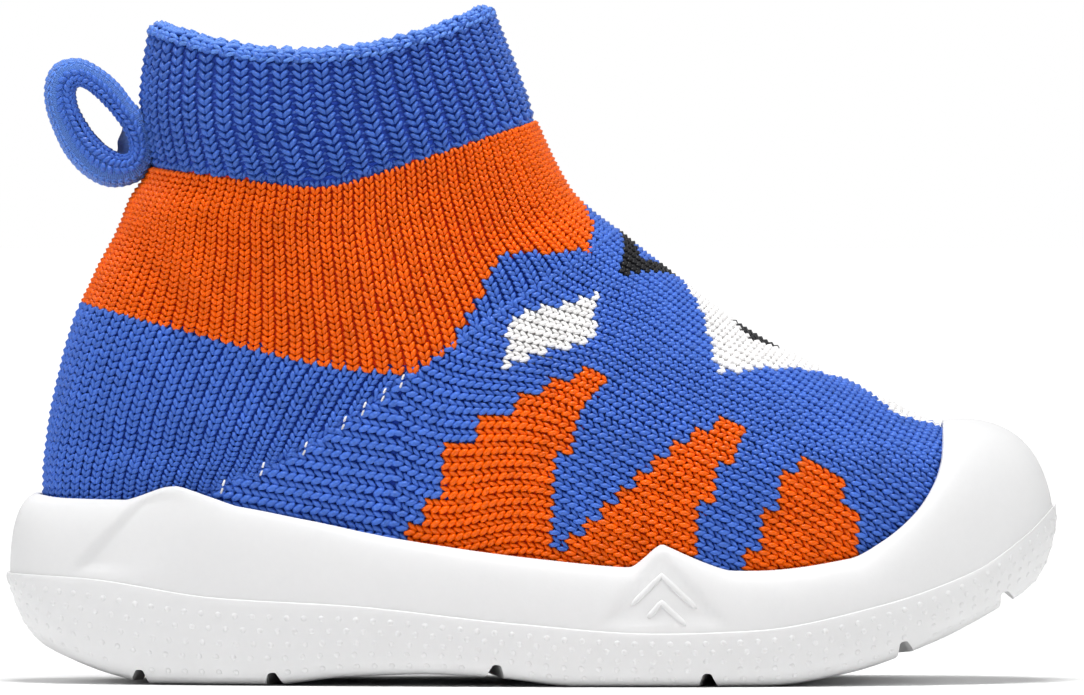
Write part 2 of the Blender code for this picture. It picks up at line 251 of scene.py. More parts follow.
# %% Lights
# Columns: name, place in metres, size, power in watts
LIGHTS = (
    ("key", (0.00, -0.15, 0.76), 0.30, 6.2),
    ("front_fill", (0.10, -0.95, 0.30), 0.80, 0.2),
    ("toe_fill", (0.75, -0.15, 0.45), 0.50, 1.4),
    ("heel_fill", (-0.75, -0.25, 0.40), 0.50, 1.6),
    ("back_rim", (-0.30, 0.65, 0.50), 0.60, 0.9),
)
AIM = Vector((0.0, 0.0, 0.04))
for name, place, size, power in LIGHTS:
    lamp_data = bpy.data.lights.new(name, "AREA")
    lamp_data.size = size
    lamp_data.energy = power
    lamp = bpy.data.objects.new(name, lamp_data)
    lamp.location = place
    lamp.rotation_euler = (AIM - Vector(place)).to_track_quat("-Z", "Y").to_euler()
    bpy.context.scene.collection.objects.link(lamp)

# The room lights the shoe softly, and is plain white where the picture shows it.
ROOM_LIGHT = 0.38
world = bpy.data.worlds.new("studio")
world.use_nodes = True
nodes, links = world.node_tree.nodes, world.node_tree.links
room = nodes["Background"]
room.inputs["Color"].default_value = (1.0, 1.0, 1.0, 1.0)
room.inputs["Strength"].default_value = ROOM_LIGHT
backdrop = nodes.new("ShaderNodeBackground")
backdrop.inputs["Color"].default_value = (1.0, 1.0, 1.0, 1.0)
either = nodes.new("ShaderNodeMixShader")
links.new(nodes.new("ShaderNodeLightPath").outputs["Is Camera Ray"], either.inputs[0])
links.new(room.outputs[0], either.inputs[1])
links.new(backdrop.outputs[0], either.inputs[2])
links.new(either.outputs[0], nodes["World Output"].inputs["Surface"])
bpy.context.scene.world = world
bpy.context.scene.view_settings.view_transform = "Standard"
bpy.context.scene.view_settings.look = "None"

# %% [markdown]
# ## A small language for materials
# A material is a sum of noises, masks and colours. The class below wraps a socket, so that the sums can
# be written as sums. Every other node comes from its one method, `node`.

# %% Shader maths
class Wire:
    """A socket of a material that takes part in Python sums."""

    def __init__(self, socket):
        self.socket = socket

    def node(self, kind, settings=None, sockets=None, out=0):
        """Adds a node of this kind: its settings first, then values or links for its sockets."""
        made = self.socket.id_data.nodes.new(kind)
        for key, value in (settings or {}).items():
            setattr(made, key, value)
        for key, value in (sockets or {}).items():
            if isinstance(value, Wire):
                made.id_data.links.new(value.socket, made.inputs[key])
            else:
                made.inputs[key].default_value = value
        return Wire(made.outputs[out])

    def maths(self, operation, first, second=0.0):
        return self.node("ShaderNodeMath", {"operation": operation}, {0: first, 1: second})

    def __add__(self, other):
        return self.maths("ADD", self, other)

    def __sub__(self, other):
        return self.maths("SUBTRACT", self, other)

    def __rsub__(self, other):
        return self.maths("SUBTRACT", other, self)

    def __mul__(self, other):
        return self.maths("MULTIPLY", self, other)

    __radd__ = __add__
    __rmul__ = __mul__

    def wave(self):
        return self.maths("SINE", self)

    def between(self, low, high):
        """0 below low, 1 above high and a smooth slope between."""
        return self.node("ShaderNodeMapRange", {"interpolation_type": "SMOOTHSTEP"},
                         {"Value": self, "From Min": low, "From Max": high})

    def mix(self, low, high):
        """A colour between two, by this value."""
        return self.node("ShaderNodeMix", {"data_type": "RGBA"}, {0: self, 6: low, 7: high}, out=2)

    def shaded(self, shade):
        """This colour, made deeper by a value."""
        tone = self.node("ShaderNodeCombineColor", None, {0: shade, 1: shade, 2: shade})
        return self.node("ShaderNodeMix", {"data_type": "RGBA", "blend_type": "MULTIPLY"},
                         {0: 1.0, 6: self, 7: tone}, out=2)

    def two_ways(self):
        """The first two parts of a place."""
        parts = self.node("ShaderNodeSeparateXYZ", None, {0: self})
        return parts, Wire(parts.socket.node.outputs["Y"])


def new_finish(name, **constants):
    """A material with these constants on its shader, and its first wire: Object coordinates."""
    made = bpy.data.materials.new(name)
    made.use_nodes = True
    shader = made.node_tree.nodes["Principled BSDF"]
    for key, value in constants.items():
        shader.inputs[key.replace("_", " ")].default_value = value
    place = Wire(made.node_tree.nodes.new("ShaderNodeTexCoord").outputs["Object"])
    return made, shader, place


def feed(shader, **wires):
    """Links what changes over the surface to the shader."""
    for key, wire in wires.items():
        shader.id_data.links.new(wire.socket, shader.inputs[key.replace("_", " ")])


def noise(place, scale, detail=2.0, rough=0.5):
    return place.node("ShaderNodeTexNoise", None,
                      {"Vector": place, "Scale": scale, "Detail": detail, "Roughness": rough})


def bump(height, strength, depth):
    """A normal that follows this height, in metres of depth."""
    return height.node("ShaderNodeBump", None, {"Height": height, "Strength": strength, "Distance": depth})


# %% Floor
# Away from the shoe the floor is a lit sweep, so that it meets the white room without an edge.
floor_finish, floor_shader, place = new_finish("pale_floor", Roughness=0.6, Emission_Strength=1.0)
LIT_FROM, LIT_FULL = 0.10, 0.50  # metres from the middle of the shoe
UNLIT, SWEEP_GLOW = (0.0, 0.0, 0.0, 1), (1.02, 1.02, 1.02, 1)
FLOOR_HALF = 4.0
mottle = noise(place, 6.0)
away = place.node("ShaderNodeVectorMath", {"operation": "LENGTH"}, {0: place}, out=1)
lit = away.between(LIT_FROM, LIT_FULL)
pale = mottle.mix((0.86, 0.86, 0.86, 1), (0.90, 0.90, 0.90, 1))
feed(floor_shader, Base_Color=lit.mix(pale, UNLIT), Emission_Color=lit.mix(UNLIT, SWEEP_GLOW))

floor_mesh = bpy.data.meshes.new("floor")
corners = [(-FLOOR_HALF, -FLOOR_HALF, 0), (FLOOR_HALF, -FLOOR_HALF, 0),
           (FLOOR_HALF, FLOOR_HALF, 0), (-FLOOR_HALF, FLOOR_HALF, 0)]
floor_mesh.from_pydata(corners, [], [(0, 1, 2, 3)])
floor = bpy.data.objects.new("floor", floor_mesh)
floor_mesh.materials.append(floor_finish)
bpy.context.scene.collection.objects.link(floor)
print("Floor ready")

# %% [markdown]
# ## Helpers for meshes
# Most pieces are lofts: rings of points with the same count, joined by quads. The helper also makes the
# object, at the origin, with its place in its mesh.

# %% Mesh helpers
def mesh_object(name, points, faces, finish=None):
    """An object at the origin from points in millimetres."""
    mesh = bpy.data.meshes.new(name)
    mesh.from_pydata((np.asarray(points) * MM).tolist(), [], faces)
    mesh.validate()
    mesh.shade_smooth()
    if finish:
        mesh.materials.append(finish)
    made = bpy.data.objects.new(name, mesh)
    bpy.context.scene.collection.objects.link(made)
    return made


def ring_quads(rings, count, cyclic_rings=False):
    """Quads between rings of points that are numbered ring by ring."""
    faces = []
    for ring in range(rings if cyclic_rings else rings - 1):
        after_ring = (ring + 1) % rings
        for k in range(count):
            after = (k + 1) % count
            faces.append((ring * count + k, ring * count + after,
                          after_ring * count + after, after_ring * count + k))
    return faces


def across_strips(start, count, turned=False):
    """Strips that close a ring from one side of the foot to the other."""
    faces = []
    for k in range(count // 2):
        corners = (k, k + 1, (count - k - 1) % count, (count - k) % count)
        corners = tuple(start + c for c in dict.fromkeys(corners))
        faces.append(corners[::-1] if turned else corners)
    return faces


def grid_uv(piece, rings, count):
    """A map named OFBake for a loft of closed rings: round the ring across, from ring to ring up."""
    layer = piece.data.uv_layers.new(name="OFBake")
    ring_of, turn_of = np.divmod(np.arange(rings * count), count)
    low_u, high_u = turn_of / count, (turn_of + 1) / count
    low_v, high_v = ring_of / rings, (ring_of + 1) / rings
    corner_map = np.stack((low_u, low_v, high_u, low_v, high_u, high_v, low_u, high_v), 1)
    layer.data.foreach_set("uv", corner_map.astype(np.float32).ravel())


def point_outwards(piece):
    """Turns the faces of a closed mesh outwards."""
    bm = bmesh.new()
    bm.from_mesh(piece.data)
    bmesh.ops.recalc_face_normals(bm, faces=bm.faces)
    bm.to_mesh(piece.data)
    bm.free()


def store_dye(mesh, colours, domain="POINT"):
    """Stores the colour of the yarn for each point or face, with painted shade or a painted highlight in
    some pieces.
    """
    full = np.concatenate((colours, np.ones((len(colours), 1))), 1)
    layer = mesh.attributes.new("yarn", "FLOAT_COLOR", domain)
    layer.data.foreach_set("color", full.astype(np.float32).ravel())


def put_on(piece, slot, *nodes):
    """Fixes a piece to the shoe, in the place of these solids."""
    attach(piece, "root")
    if nodes:
        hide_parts(*nodes)
    print(piece.name, len(piece.data.polygons), "faces")


# %% [markdown]
# ## Yarn
# The sock is knitted from four yarns. A yarn has a faint shine and is twisted from plies, and painted shade
# darkens the grooves between its plies. The colour of each stitch comes from an attribute, so one finish
# serves all.
# The twist is drawn on each stitch's own map, which runs round and along the strand.

# %% Yarn colours and finish
BLUE = (0.058, 0.152, 0.570)
ORANGE = (0.835, 0.118, 0.000)
WHITE = (0.880, 0.870, 0.865)
BLACK = (0.012, 0.012, 0.014)
YARNS = np.array((BLUE, ORANGE, WHITE, BLACK))
BLUE_YARN, ORANGE_YARN, WHITE_YARN, BLACK_YARN = range(4)
PLIES, PLY_TURNS = 4.0, 2.5

yarn_finish, shader, place = new_finish("yarn", Specular_IOR_Level=0.22)
dye_and_painted_light = place.node("ShaderNodeAttribute", {"attribute_name": "yarn"})
around, along = place.node("ShaderNodeUVMap", {"uv_map": "strand"}).two_ways()
ply = ((around * PLIES + along * PLY_TURNS) * (2 * math.pi)).wave() * 0.5 + 0.5
fibre = noise(place, 5200.0, 3.0, 0.6)
patch = noise(place, 130.0, 2.0)
# Painted shade: the colour is darker in the grooves between the plies; patch and fibre are tone that changes
# at random.
feed(shader, Base_Color=dye_and_painted_light.shaded(patch * 0.20 + fibre * 0.22 + ply * 0.10 + 0.72))
feed(shader, Roughness=fibre * 0.16 + 0.22)
feed(shader, Normal=bump(ply * 0.6 + fibre * 0.4, 0.5, 0.00012))
print("Yarns:", len(YARNS))

# %% [markdown]
# ## One stitch
# A knit stitch shows two legs that meet in a V. Each leg is a short plump strand whose ends dip under
# its neighbours. It is swept round a bent line with five sides, which is enough at this size, and is
# closed at both tips. Across the wale the stitch is one unit wide, along it one unit high.

# %% Strands
def strand_mesh(lines, sides, split_map):
    """Points, faces and map corners of strands. A line holds rows of x, y, z, wide and thick."""
    points, faces, corners = [], [], []
    for number, line in enumerate(lines):
        line = np.asarray(line, float)
        start = len(points)
        tangent = unit(np.gradient(line[:, :3], axis=0))
        up = unit(np.array((0, 0, 1.0)) - tangent * tangent[:, 2:3])
        side = np.cross(tangent, up)
        inner = line[1:-1]
        for k in range(sides):
            angle = 2 * math.pi * k / sides
            points.extend(inner[:, :3] + math.cos(angle) * side[1:-1] * inner[:, 3:4]
                          + math.sin(angle) * up[1:-1] * inner[:, 4:5])
        rings = len(inner)
        points.append(line[0, :3])
        points.append(line[-1, :3])
        tip_low, tip_high = start + sides * rings, start + sides * rings + 1
        wide = 1 / split_map
        for k in range(sides):
            after = (k + 1) % sides
            left, right = start + k * rings, start + after * rings
            u = [wide * (number + 0.06 + 0.88 * (k + part) / sides) for part in (0, 0.5, 1)]
            v = [0.04 + 0.92 * r / (rings + 1) for r in range(rings + 2)]
            faces.append((tip_low, left, right)[::-1])
            corners.append(((u[1], v[0]), (u[0], v[1]), (u[2], v[1]))[::-1])
            for r in range(rings - 1):
                faces.append((left + r, left + r + 1, right + r + 1, right + r)[::-1])
                low, high = v[r + 1], v[r + 2]
                corners.append(((u[0], low), (u[0], high), (u[2], high), (u[2], low))[::-1])
            faces.append((left + rings - 1, tip_high, right + rings - 1)[::-1])
            corners.append(((u[0], v[rings]), (u[1], v[rings + 1]), (u[2], v[rings]))[::-1])
    return np.array(points), faces, corners


def stitch_shape(name, lines, sides=5):
    """A hidden object of one unit that the stitches are copied from."""
    points, faces, corners = strand_mesh(lines, sides, len(lines))
    made = mesh_object(name, points / MM, faces)
    layer = made.data.uv_layers.new(name="strand")
    flat = np.array([c for face in corners for c in face], np.float32)
    layer.data.foreach_set("uv", flat.ravel())
    bm = bmesh.new()
    bm.from_mesh(made.data)
    if bm.calc_volume(signed=True) < 0:
        bmesh.ops.reverse_faces(bm, faces=bm.faces)
        bm.to_mesh(made.data)
    bm.free()
    made.hide_render = True
    return made


def leg(side, low=0.10, high=0.31, wide=0.215, thick=0.32, reach=0.66, lift=0.0):
    """One leg of the V, on the side of +1 or -1. Columns: x, y, z, wide, thick."""
    return (
        (side * low * 0.8, -reach, lift - 0.38, 0, 0),
        (side * low, -reach * 0.60, lift - 0.05, wide * 0.80, thick * 0.82),
        (side * (low + (high - low) * 0.55), 0.06, lift + 0.11, wide, thick),
        (side * high, reach * 0.74, lift - 0.03, wide * 0.82, thick * 0.80),
        (side * (high + 0.02), reach * 1.12, lift - 0.40, 0, 0),
    )


knit_shape = stitch_shape("knit_shape", [leg(-1), leg(1)])
# On the foot the wales lie aslant, so the lower leg stands up as a level bead and the upper one sinks.
bead_leg = dict(low=0.11, high=0.37, wide=0.27, thick=0.38, reach=0.68, lift=0.06)
sunk_leg = dict(low=0.11, high=0.37, wide=0.215, thick=0.32, reach=0.70, lift=-0.09)
outer_shape = stitch_shape("outer_shape", [leg(-1, **bead_leg), leg(1, **sunk_leg)])
inner_shape = stitch_shape("inner_shape", [leg(1, **bead_leg), leg(-1, **sunk_leg)])
# In the ribbed cuff the wale is narrow and stands up, and a purl bar lies low beside it.
rib_leg = dict(low=0.06, high=0.285, wide=0.165, thick=0.36, reach=0.58)
purl_bar = (
    (0.25, 0.00, -0.66, 0, 0), (0.36, 0.06, -0.42, 0.22, 0.28), (0.50, 0.10, -0.34, 0.25, 0.30),
    (0.64, 0.06, -0.42, 0.22, 0.28), (0.75, 0.00, -0.66, 0, 0),
)
rib_shape = stitch_shape("rib_shape", [leg(-1, **rib_leg), leg(1, **rib_leg), purl_bar])
print("Faces in a stitch:", len(knit_shape.data.polygons))

# %% [markdown]
# ## Knitting with Geometry Nodes
# A course is a list of points, each with the way it faces, the way its wale runs, a size and a yarn.
# The node tree sets a stitch on each point, turns it, makes the copies real and gives every stitch its
# own cell of a map named OFBake.

# %% The stitch tree
def node_in(tree, kind, settings=None, sockets=None):
    """Adds a geometry node: its settings first, then values or links for its sockets."""
    made = tree.nodes.new(kind)
    for key, value in (settings or {}).items():
        setattr(made, key, value)
    for key, value in (sockets or {}).items():
        socket = next(s for s in made.inputs if s.enabled and s.name == key)
        if isinstance(value, bpy.types.NodeSocket):
            tree.links.new(value, socket)
        else:
            socket.default_value = value
    return made


def attribute_in(tree, name):
    made = node_in(tree, "GeometryNodeInputNamedAttribute", {"data_type": "FLOAT_VECTOR"}, {"Name": name})
    return next(s for s in made.outputs if s.enabled)


def stitch_tree():
    tree = bpy.data.node_groups.new("stitches on points", "GeometryNodeTree")
    sockets = {}
    for name, kind in (("Points", "Geometry"), ("Shape", "Object"), ("Finish", "Material"),
                       ("Cell", "Float")):
        made = tree.interface.new_socket(name, in_out="INPUT", socket_type="NodeSocket" + kind)
        sockets[name] = made.identifier
    tree.interface.new_socket("Stitches", in_out="OUTPUT", socket_type="NodeSocketGeometry")
    given = tree.nodes.new("NodeGroupInput").outputs
    shape = node_in(tree, "GeometryNodeObjectInfo", None, {"Object": given["Shape"]})
    turned = node_in(tree, "FunctionNodeAxesToRotation", {"primary_axis": "Z", "secondary_axis": "Y"},
                     {"Primary Axis": attribute_in(tree, "facing"),
                      "Secondary Axis": attribute_in(tree, "wale")})
    copies = node_in(tree, "GeometryNodeInstanceOnPoints", None,
                     {"Points": given["Points"], "Instance": shape.outputs["Geometry"],
                      "Rotation": turned.outputs[0], "Scale": attribute_in(tree, "size")})
    real = node_in(tree, "GeometryNodeRealizeInstances", None, {"Geometry": copies.outputs[0]})
    in_cell = node_in(tree, "ShaderNodeVectorMath", {"operation": "SCALE"},
                      {"Vector": attribute_in(tree, "strand"), "Scale": given["Cell"]})
    on_map = node_in(tree, "ShaderNodeVectorMath", {"operation": "ADD"})
    tree.links.new(in_cell.outputs[0], on_map.inputs[0])
    tree.links.new(attribute_in(tree, "cell"), on_map.inputs[1])
    mapped = node_in(tree, "GeometryNodeStoreNamedAttribute", {"data_type": "FLOAT2", "domain": "CORNER"},
                     {"Geometry": real.outputs[0], "Name": "OFBake", "Value": on_map.outputs[0]})
    dressed = node_in(tree, "GeometryNodeSetMaterial", None,
                      {"Geometry": mapped.outputs[0], "Material": given["Finish"]})
    result = tree.nodes.new("NodeGroupOutput")
    tree.links.new(dressed.outputs[0], result.inputs[0])
    return tree, sockets


STITCH_TREE, STITCH_INPUTS = stitch_tree()
DICE = np.random.default_rng(7)
UNEVEN_DYE = 0.05


def knit(name, shape, rows, finish=None, loose=0.05):
    """A piece of stitches, a little uneven. Rows hold point, facing, wale, size, yarn colour."""
    points, facing, wale, size, yarn = rows
    count = len(points)
    size = size * np.clip(DICE.normal(1.0, loose, (count, 3)), 0.8, 1.2)
    wale = wale + DICE.normal(0.0, loose, (count, 3))
    mesh = bpy.data.meshes.new(name)
    mesh.from_pydata((points * MM).tolist(), [], [])
    per_row = math.ceil(math.sqrt(count))
    number = np.arange(count)
    cell = np.stack((number % per_row, number // per_row, np.zeros(count)), 1) / per_row
    for key, values in (("facing", facing), ("wale", wale), ("size", size * MM), ("cell", cell)):
        mesh.attributes.new(key, "FLOAT_VECTOR", "POINT").data.foreach_set(
            "vector", values.astype(np.float32).ravel())
    store_dye(mesh, np.clip(yarn * DICE.normal(1.0, UNEVEN_DYE, (count, 1)), 0, 1))
    piece = bpy.data.objects.new(name, mesh)
    bpy.context.scene.collection.objects.link(piece)
    modifier = piece.modifiers.new("stitches", "NODES")
    modifier.node_group = STITCH_TREE
    modifier[STITCH_INPUTS["Shape"]] = shape
    modifier[STITCH_INPUTS["Finish"]] = finish or yarn_finish
    modifier[STITCH_INPUTS["Cell"]] = 1.0 / per_row
    graph = bpy.context.evaluated_depsgraph_get()
    made = bpy.data.meshes.new_from_object(
        piece.evaluated_get(graph), preserve_all_data_layers=True, depsgraph=graph)
    piece.modifiers.remove(modifier)
    piece.data = made
    made.name = name
    made.shade_smooth()
    return piece


# %% [markdown]
# ## Courses of the sock
# A sock is knitted as a tube that turns at the heel. To lay its courses, rays are cast from a point
# inside the foot out to the skin, from the front or top of the course, round the side, to its back or
# bottom. The two halves of a course can lean differently, which is how the heel turns. Then the course is
# divided into stitches by its length.

# %% Soft creases of the worn sock
# Rows: start and end in side view, half width, depth inwards. A negative depth is a soft ridge.
CREASES = (
    ((-54.0, 60.5), (-45.5, 45.0), 3.0, 0.45),
    ((-54.5, 61.0), (-60.0, 50.5), 3.2, -0.50),
    ((-48.0, 61.0), (-39.5, 47.0), 3.2, -0.40),
    ((5.5, 64.0), (-9.0, 57.5), 2.6, 0.35),
    ((12.0, 59.5), (-4.0, 53.0), 2.8, -0.35),
    ((-60.0, 32.0), (-44.0, 31.5), 2.4, 0.45),
    ((-33.0, 33.5), (-18.0, 41.0), 2.2, 0.35),
    ((46.0, 25.0), (28.0, 21.0), 3.0, 0.35),
)


def creased(points, normals, sink=0.0):
    """Points moved inwards by the sink and by the creases near them."""
    depth = np.full(points.shape[:-1], float(sink))
    flat = points[..., (0, 2)]
    for start, end, half, deep in CREASES:
        start, run = np.array(start), np.array(end) - np.array(start)
        share = np.clip(((flat - start) @ run) / (run @ run), 0, 1)
        away = np.linalg.norm(flat - start - share[..., None] * run, axis=-1)
        depth += deep * np.exp(-((away / half) ** 2)) * np.sin(math.pi * (0.1 + 0.8 * share)) ** 0.5
    return points - normals * depth[..., None]


print("Creases:", len(CREASES))

# %% The skin that rays are cast at
SKIN_TURNS, SKIN_RISES = 300, 210
skin_turn, skin_rise = np.meshgrid(
    np.linspace(-math.pi, math.pi, SKIN_TURNS, endpoint=False), np.linspace(0, TOP_RISE, SKIN_RISES))
skin_points = creased(sock_point(skin_turn, skin_rise), sock_normal(skin_turn, skin_rise)).reshape(-1, 3)
SKIN = BVHTree.FromPolygons(skin_points.tolist(), ring_quads(SKIN_RISES, SKIN_TURNS))


def cast(origin, directions):
    """Points and outward directions where rays from the origin meet the skin, up to the first miss."""
    found = []
    for direction in directions:
        point, normal, _, _ = SKIN.ray_cast(Vector(origin), Vector(direction))
        if point is None:
            break
        if normal.dot(Vector(direction)) < 0:
            normal = -normal
        found.append((*point, *normal))
    return np.array(found).reshape(-1, 6)


def side_cast(x, z, side):
    """What cast() finds straight out from x and z, on the side of +1 or -1."""
    return cast((x, 0, z), [(0, side, 0)])


def along_course(course, places):
    """Rows of a course read at these lengths from its start. Past its end they aren't numbers."""
    if len(course) < 2:
        return np.full((len(places), 6), np.nan)
    run = np.append(0, np.cumsum(np.linalg.norm(np.diff(course[:, :3], axis=0), axis=1)))
    return np.stack([np.interp(places, run, column, right=np.nan) for column in course.T], 1)


def course_length(course):
    return float(np.linalg.norm(np.diff(course[:, :3], axis=0), axis=1).sum())


def both_ways(grid, axis):
    """The step from one stitch to the next, averaged over the step before and the step after."""
    step = np.diff(grid, axis=axis)
    gap = np.full_like(np.take(grid, [0], axis=axis), np.nan)
    after, before = np.concatenate((step, gap), axis), np.concatenate((gap, step), axis)
    with np.errstate(invalid="ignore"):
        known = (~np.isnan(after)).astype(float) + ~np.isnan(before)
        return (np.nan_to_num(after) + np.nan_to_num(before)) / np.where(known > 0, known, np.nan)


def stitches(grid, dye_and_painted_light, depth, keep=None, sink=0.55):
    """Rows for knit() from a grid of courses and wales, whose stitches open towards earlier courses."""
    points, facing = grid[..., :3], unit(grid[..., 3:])
    wale = -both_ways(points, 0)
    across = both_ways(points, 1)
    good = ~np.isnan(points).any(-1) & ~np.isnan(wale).any(-1) & ~np.isnan(across).any(-1)
    if keep is not None:
        good &= keep
    wide = np.linalg.norm(across - unit(wale) * (across * unit(wale)).sum(-1, keepdims=True), axis=-1)
    size = np.stack((wide, np.linalg.norm(wale, axis=-1), np.full(wide.shape, depth)), -1)
    return [part[good] for part in (points - facing * sink, facing, unit(wale), size, dye_and_painted_light)]


def joined(*rows):
    return [np.concatenate(parts) for parts in zip(*rows)]


def above_rim(points, spare=1.3):
    """Whether points lie above the rim of the cup, or no further below and ahead of it than is spare."""
    x, z = np.nan_to_num(points[..., 0]), np.nan_to_num(points[..., 2])
    return z > np.minimum(rim_height(x), rim_height(x - spare)) - spare


print("Skin faces:", SKIN_RISES * SKIN_TURNS)

# %% [markdown]
# ## The leg
# The leg is a ring of a hundred wales under the cuff. Its courses start level and end slanted: the back
# half sinks towards the heel and the front half climbs to the throat.

# %% Leg courses
LEG_COURSES = 28
LEG_WALES = 100
SWEEP = np.radians(np.arange(0, 180.1, 1.5))
TOP_HINGE, LOW_HINGE = np.array((-27.0, 65.0)), np.array((-15.3, 41.2))
TOP_BACK, LOW_BACK = np.array((-50.5, 68.0)), np.array((-60.4, 50.5))
TOP_FRONT, LOW_FRONT = np.array((0.1, 73.8)), np.array((12.0, 60.0))
LEG_SAG = 0.06
HINGE_BEND = 0.15
LOW_CORNER = 0.85  # by this share the lowest course turns more sharply


def bent_rays(ahead, behind, sag, bend, sweep=SWEEP):
    """Directions from ahead, round one side, to behind. Ahead and behind are x and z."""
    c = np.cos(sweep)
    fore, aft = (np.sqrt(c * c + bend * bend) + c) / 2, (np.sqrt(c * c + bend * bend) - c) / 2
    flat = fore[:, None] * ahead + aft[:, None] * behind
    droop = sag * 4 * np.clip(-c, 0, 1) * (1 - np.clip(-c, 0, 1))
    return np.stack((flat[:, 0], np.sin(sweep), flat[:, 1] - droop), 1)


def mirrored(rays):
    return rays * np.array((1, -1, 1))


def leg_course(share):
    """A closed course of the leg, from the front centre round the outer side and back again."""
    hinge = TOP_HINGE + (LOW_HINGE - TOP_HINGE) * share
    ahead = unit(TOP_FRONT + (LOW_FRONT - TOP_FRONT) * share - hinge)
    behind = unit(TOP_BACK + (LOW_BACK - TOP_BACK) * share - hinge)
    rays = bent_rays(ahead, behind, LEG_SAG * share, HINGE_BEND * (1 - LOW_CORNER * share))
    origin = (hinge[0], 0, hinge[1])
    outer, inner = cast(origin, mirrored(rays)), cast(origin, rays)
    return np.concatenate((outer, inner[-2::-1]))


WALE_DRIFT = 2.0  # low on the sides the wales drift towards the back
leg_grid = []
for course in range(LEG_COURSES):
    share = course / (LEG_COURSES - 1)
    ring = leg_course(share)
    part = (np.arange(LEG_WALES) + 0.5) / LEG_WALES
    places = part * course_length(ring) + WALE_DRIFT * share**3 * np.sin(2 * math.pi * part)
    leg_grid.append(along_course(ring, places))
leg_grid = np.array(leg_grid)
LOW_PITCH = course_length(ring) / LEG_WALES
TOP_PITCH = course_length(leg_course(0.0)) / LEG_WALES
print("Leg wales from", round(TOP_PITCH, 2), "to", round(LOW_PITCH, 2), "mm")

# %% [markdown]
# ## Heel and foot
# The heel pocket is knitted back and forth, so its courses grow shorter and end on a slanted gore line.
# The foot starts at the same point and its courses run from the instep down to the cup. Behind the point
# lies a small triangle, whose wales carry on from those of the foot.

# %% Heel courses
HEEL_COURSES = 26
HEEL_WALES = 36
HEEL_END = np.array((-64.5, 23.5))
HEEL_START = 0.7  # of a course, below the leg
HEEL_BEND = 0.02
HEEL_TAPER = 0.12
HALF_SWEEP = SWEEP[SWEEP >= math.pi / 2][::-1]
# The gore line in side view, from its lower end up to the hinge of the leg's last course
GORE = np.array((
    (-43.5, 24.8), (-40.6, 26.0), (-35.1, 28.5), (-29.5, 31.2), (-24.4, 34.6), (-19.2, 38.3), LOW_HINGE,
))
GORE_TOP = GORE[-1]


def gore_height(x):
    """The height of the gore line at x."""
    return np.interp(x, GORE[:, 0], GORE[:, 1])


heel_grid = []
for course in range(HEEL_COURSES):
    share = (course + HEEL_START) / HEEL_COURSES
    gore_x = GORE_TOP[0] + (GORE[0, 0] - GORE_TOP[0]) * share
    gore = np.array((gore_x, gore_height(gore_x)))
    behind = unit(LOW_BACK + (HEEL_END - LOW_BACK) * share - gore)
    rays = bent_rays(np.zeros(2), behind, LEG_SAG * (1 - share), HEEL_BEND, HALF_SWEEP)
    origin = (gore[0], 0, gore[1])
    places = (np.arange(HEEL_WALES) + 0.5) * LOW_PITCH * (1 - HEEL_TAPER * share)
    outer, inner = (along_course(cast(origin, way), places) for way in (mirrored(rays), rays))
    heel_grid.append(np.concatenate((outer[::-1], inner)))
heel_grid = np.array(heel_grid)

# %% Foot courses
FOOT_COURSES = 69
FOOT_WALES = 46
TOE_HINGE = np.array((54.5, 26.0))
LEAN_START, LEAN_END = 1.41, 0.42
FOOT_PITCH = 1.60
FOOT_BEND = 0.12


def eased_lean(c):
    return c + np.sqrt(c * c + FOOT_BEND**2) - FOOT_BEND


def foot_rays(lean):
    """Directions from the instep, leaning towards the toe, round one side to straight down."""
    c = np.cos(SWEEP)
    return np.stack((lean * (eased_lean(c) / eased_lean(1.0)), np.sin(SWEEP), c), 1)


def foot_side(mirror):
    """The courses of one side of the foot, from the instep down."""
    grid = []
    for course in range(FOOT_COURSES):
        share = course / (FOOT_COURSES - 1)
        hinge = GORE_TOP + (TOE_HINGE - GORE_TOP) * share
        rays = foot_rays(LEAN_START + (LEAN_END - LEAN_START) * share)
        pitch = LOW_PITCH + (FOOT_PITCH - LOW_PITCH) * ease(share, 0.0, 0.3)
        line = cast((hinge[0], 0, hinge[1]), mirrored(rays) if mirror else rays)
        grid.append(along_course(line, (np.arange(FOOT_WALES) + 0.5) * pitch))
    return np.array(grid)


outer_foot, inner_foot = foot_side(True), foot_side(False)

# %% The triangle behind the gore
BACK_STEP = 1.15
BACK_COURSES = 26
WALE_SLOPE = 0.17
GORE_OVERLAP, FIRST_OVERLAP = 0.2, 0.3


def back_triangle(foot):
    """Courses behind the foot's first one, which carry on its wales below the gore line."""
    first = foot[0]
    low = first[first[:, 2] < GORE_TOP[1] + FIRST_OVERLAP]
    grid = []
    for course in range(BACK_COURSES, 0, -1):
        row = np.full((len(low), 6), np.nan)
        for k, start in enumerate(low):
            x = start[0] - course * BACK_STEP
            z = start[2] + WALE_SLOPE * course * BACK_STEP
            hit = side_cast(x, z, math.copysign(1, start[1]))
            if len(hit) and z < gore_height(x) + GORE_OVERLAP:
                row[k] = hit[0]
        grid.append(row)
    return np.array(grid + [low])


outer_back, inner_back = back_triangle(outer_foot), back_triangle(inner_foot)
print("Heel", heel_grid.shape, "foot", outer_foot.shape, "triangle", outer_back.shape)

# %% [markdown]
# ## Colours knitted in
# The leg is orange down to the heel and ends in front in a stepped, pointed border. The foot is blue with
# three tapered orange stripes on each side. Over the instep runs a plain row of lozenges. Each stitch has
# one yarn, so every edge is stepped as in real knitting.

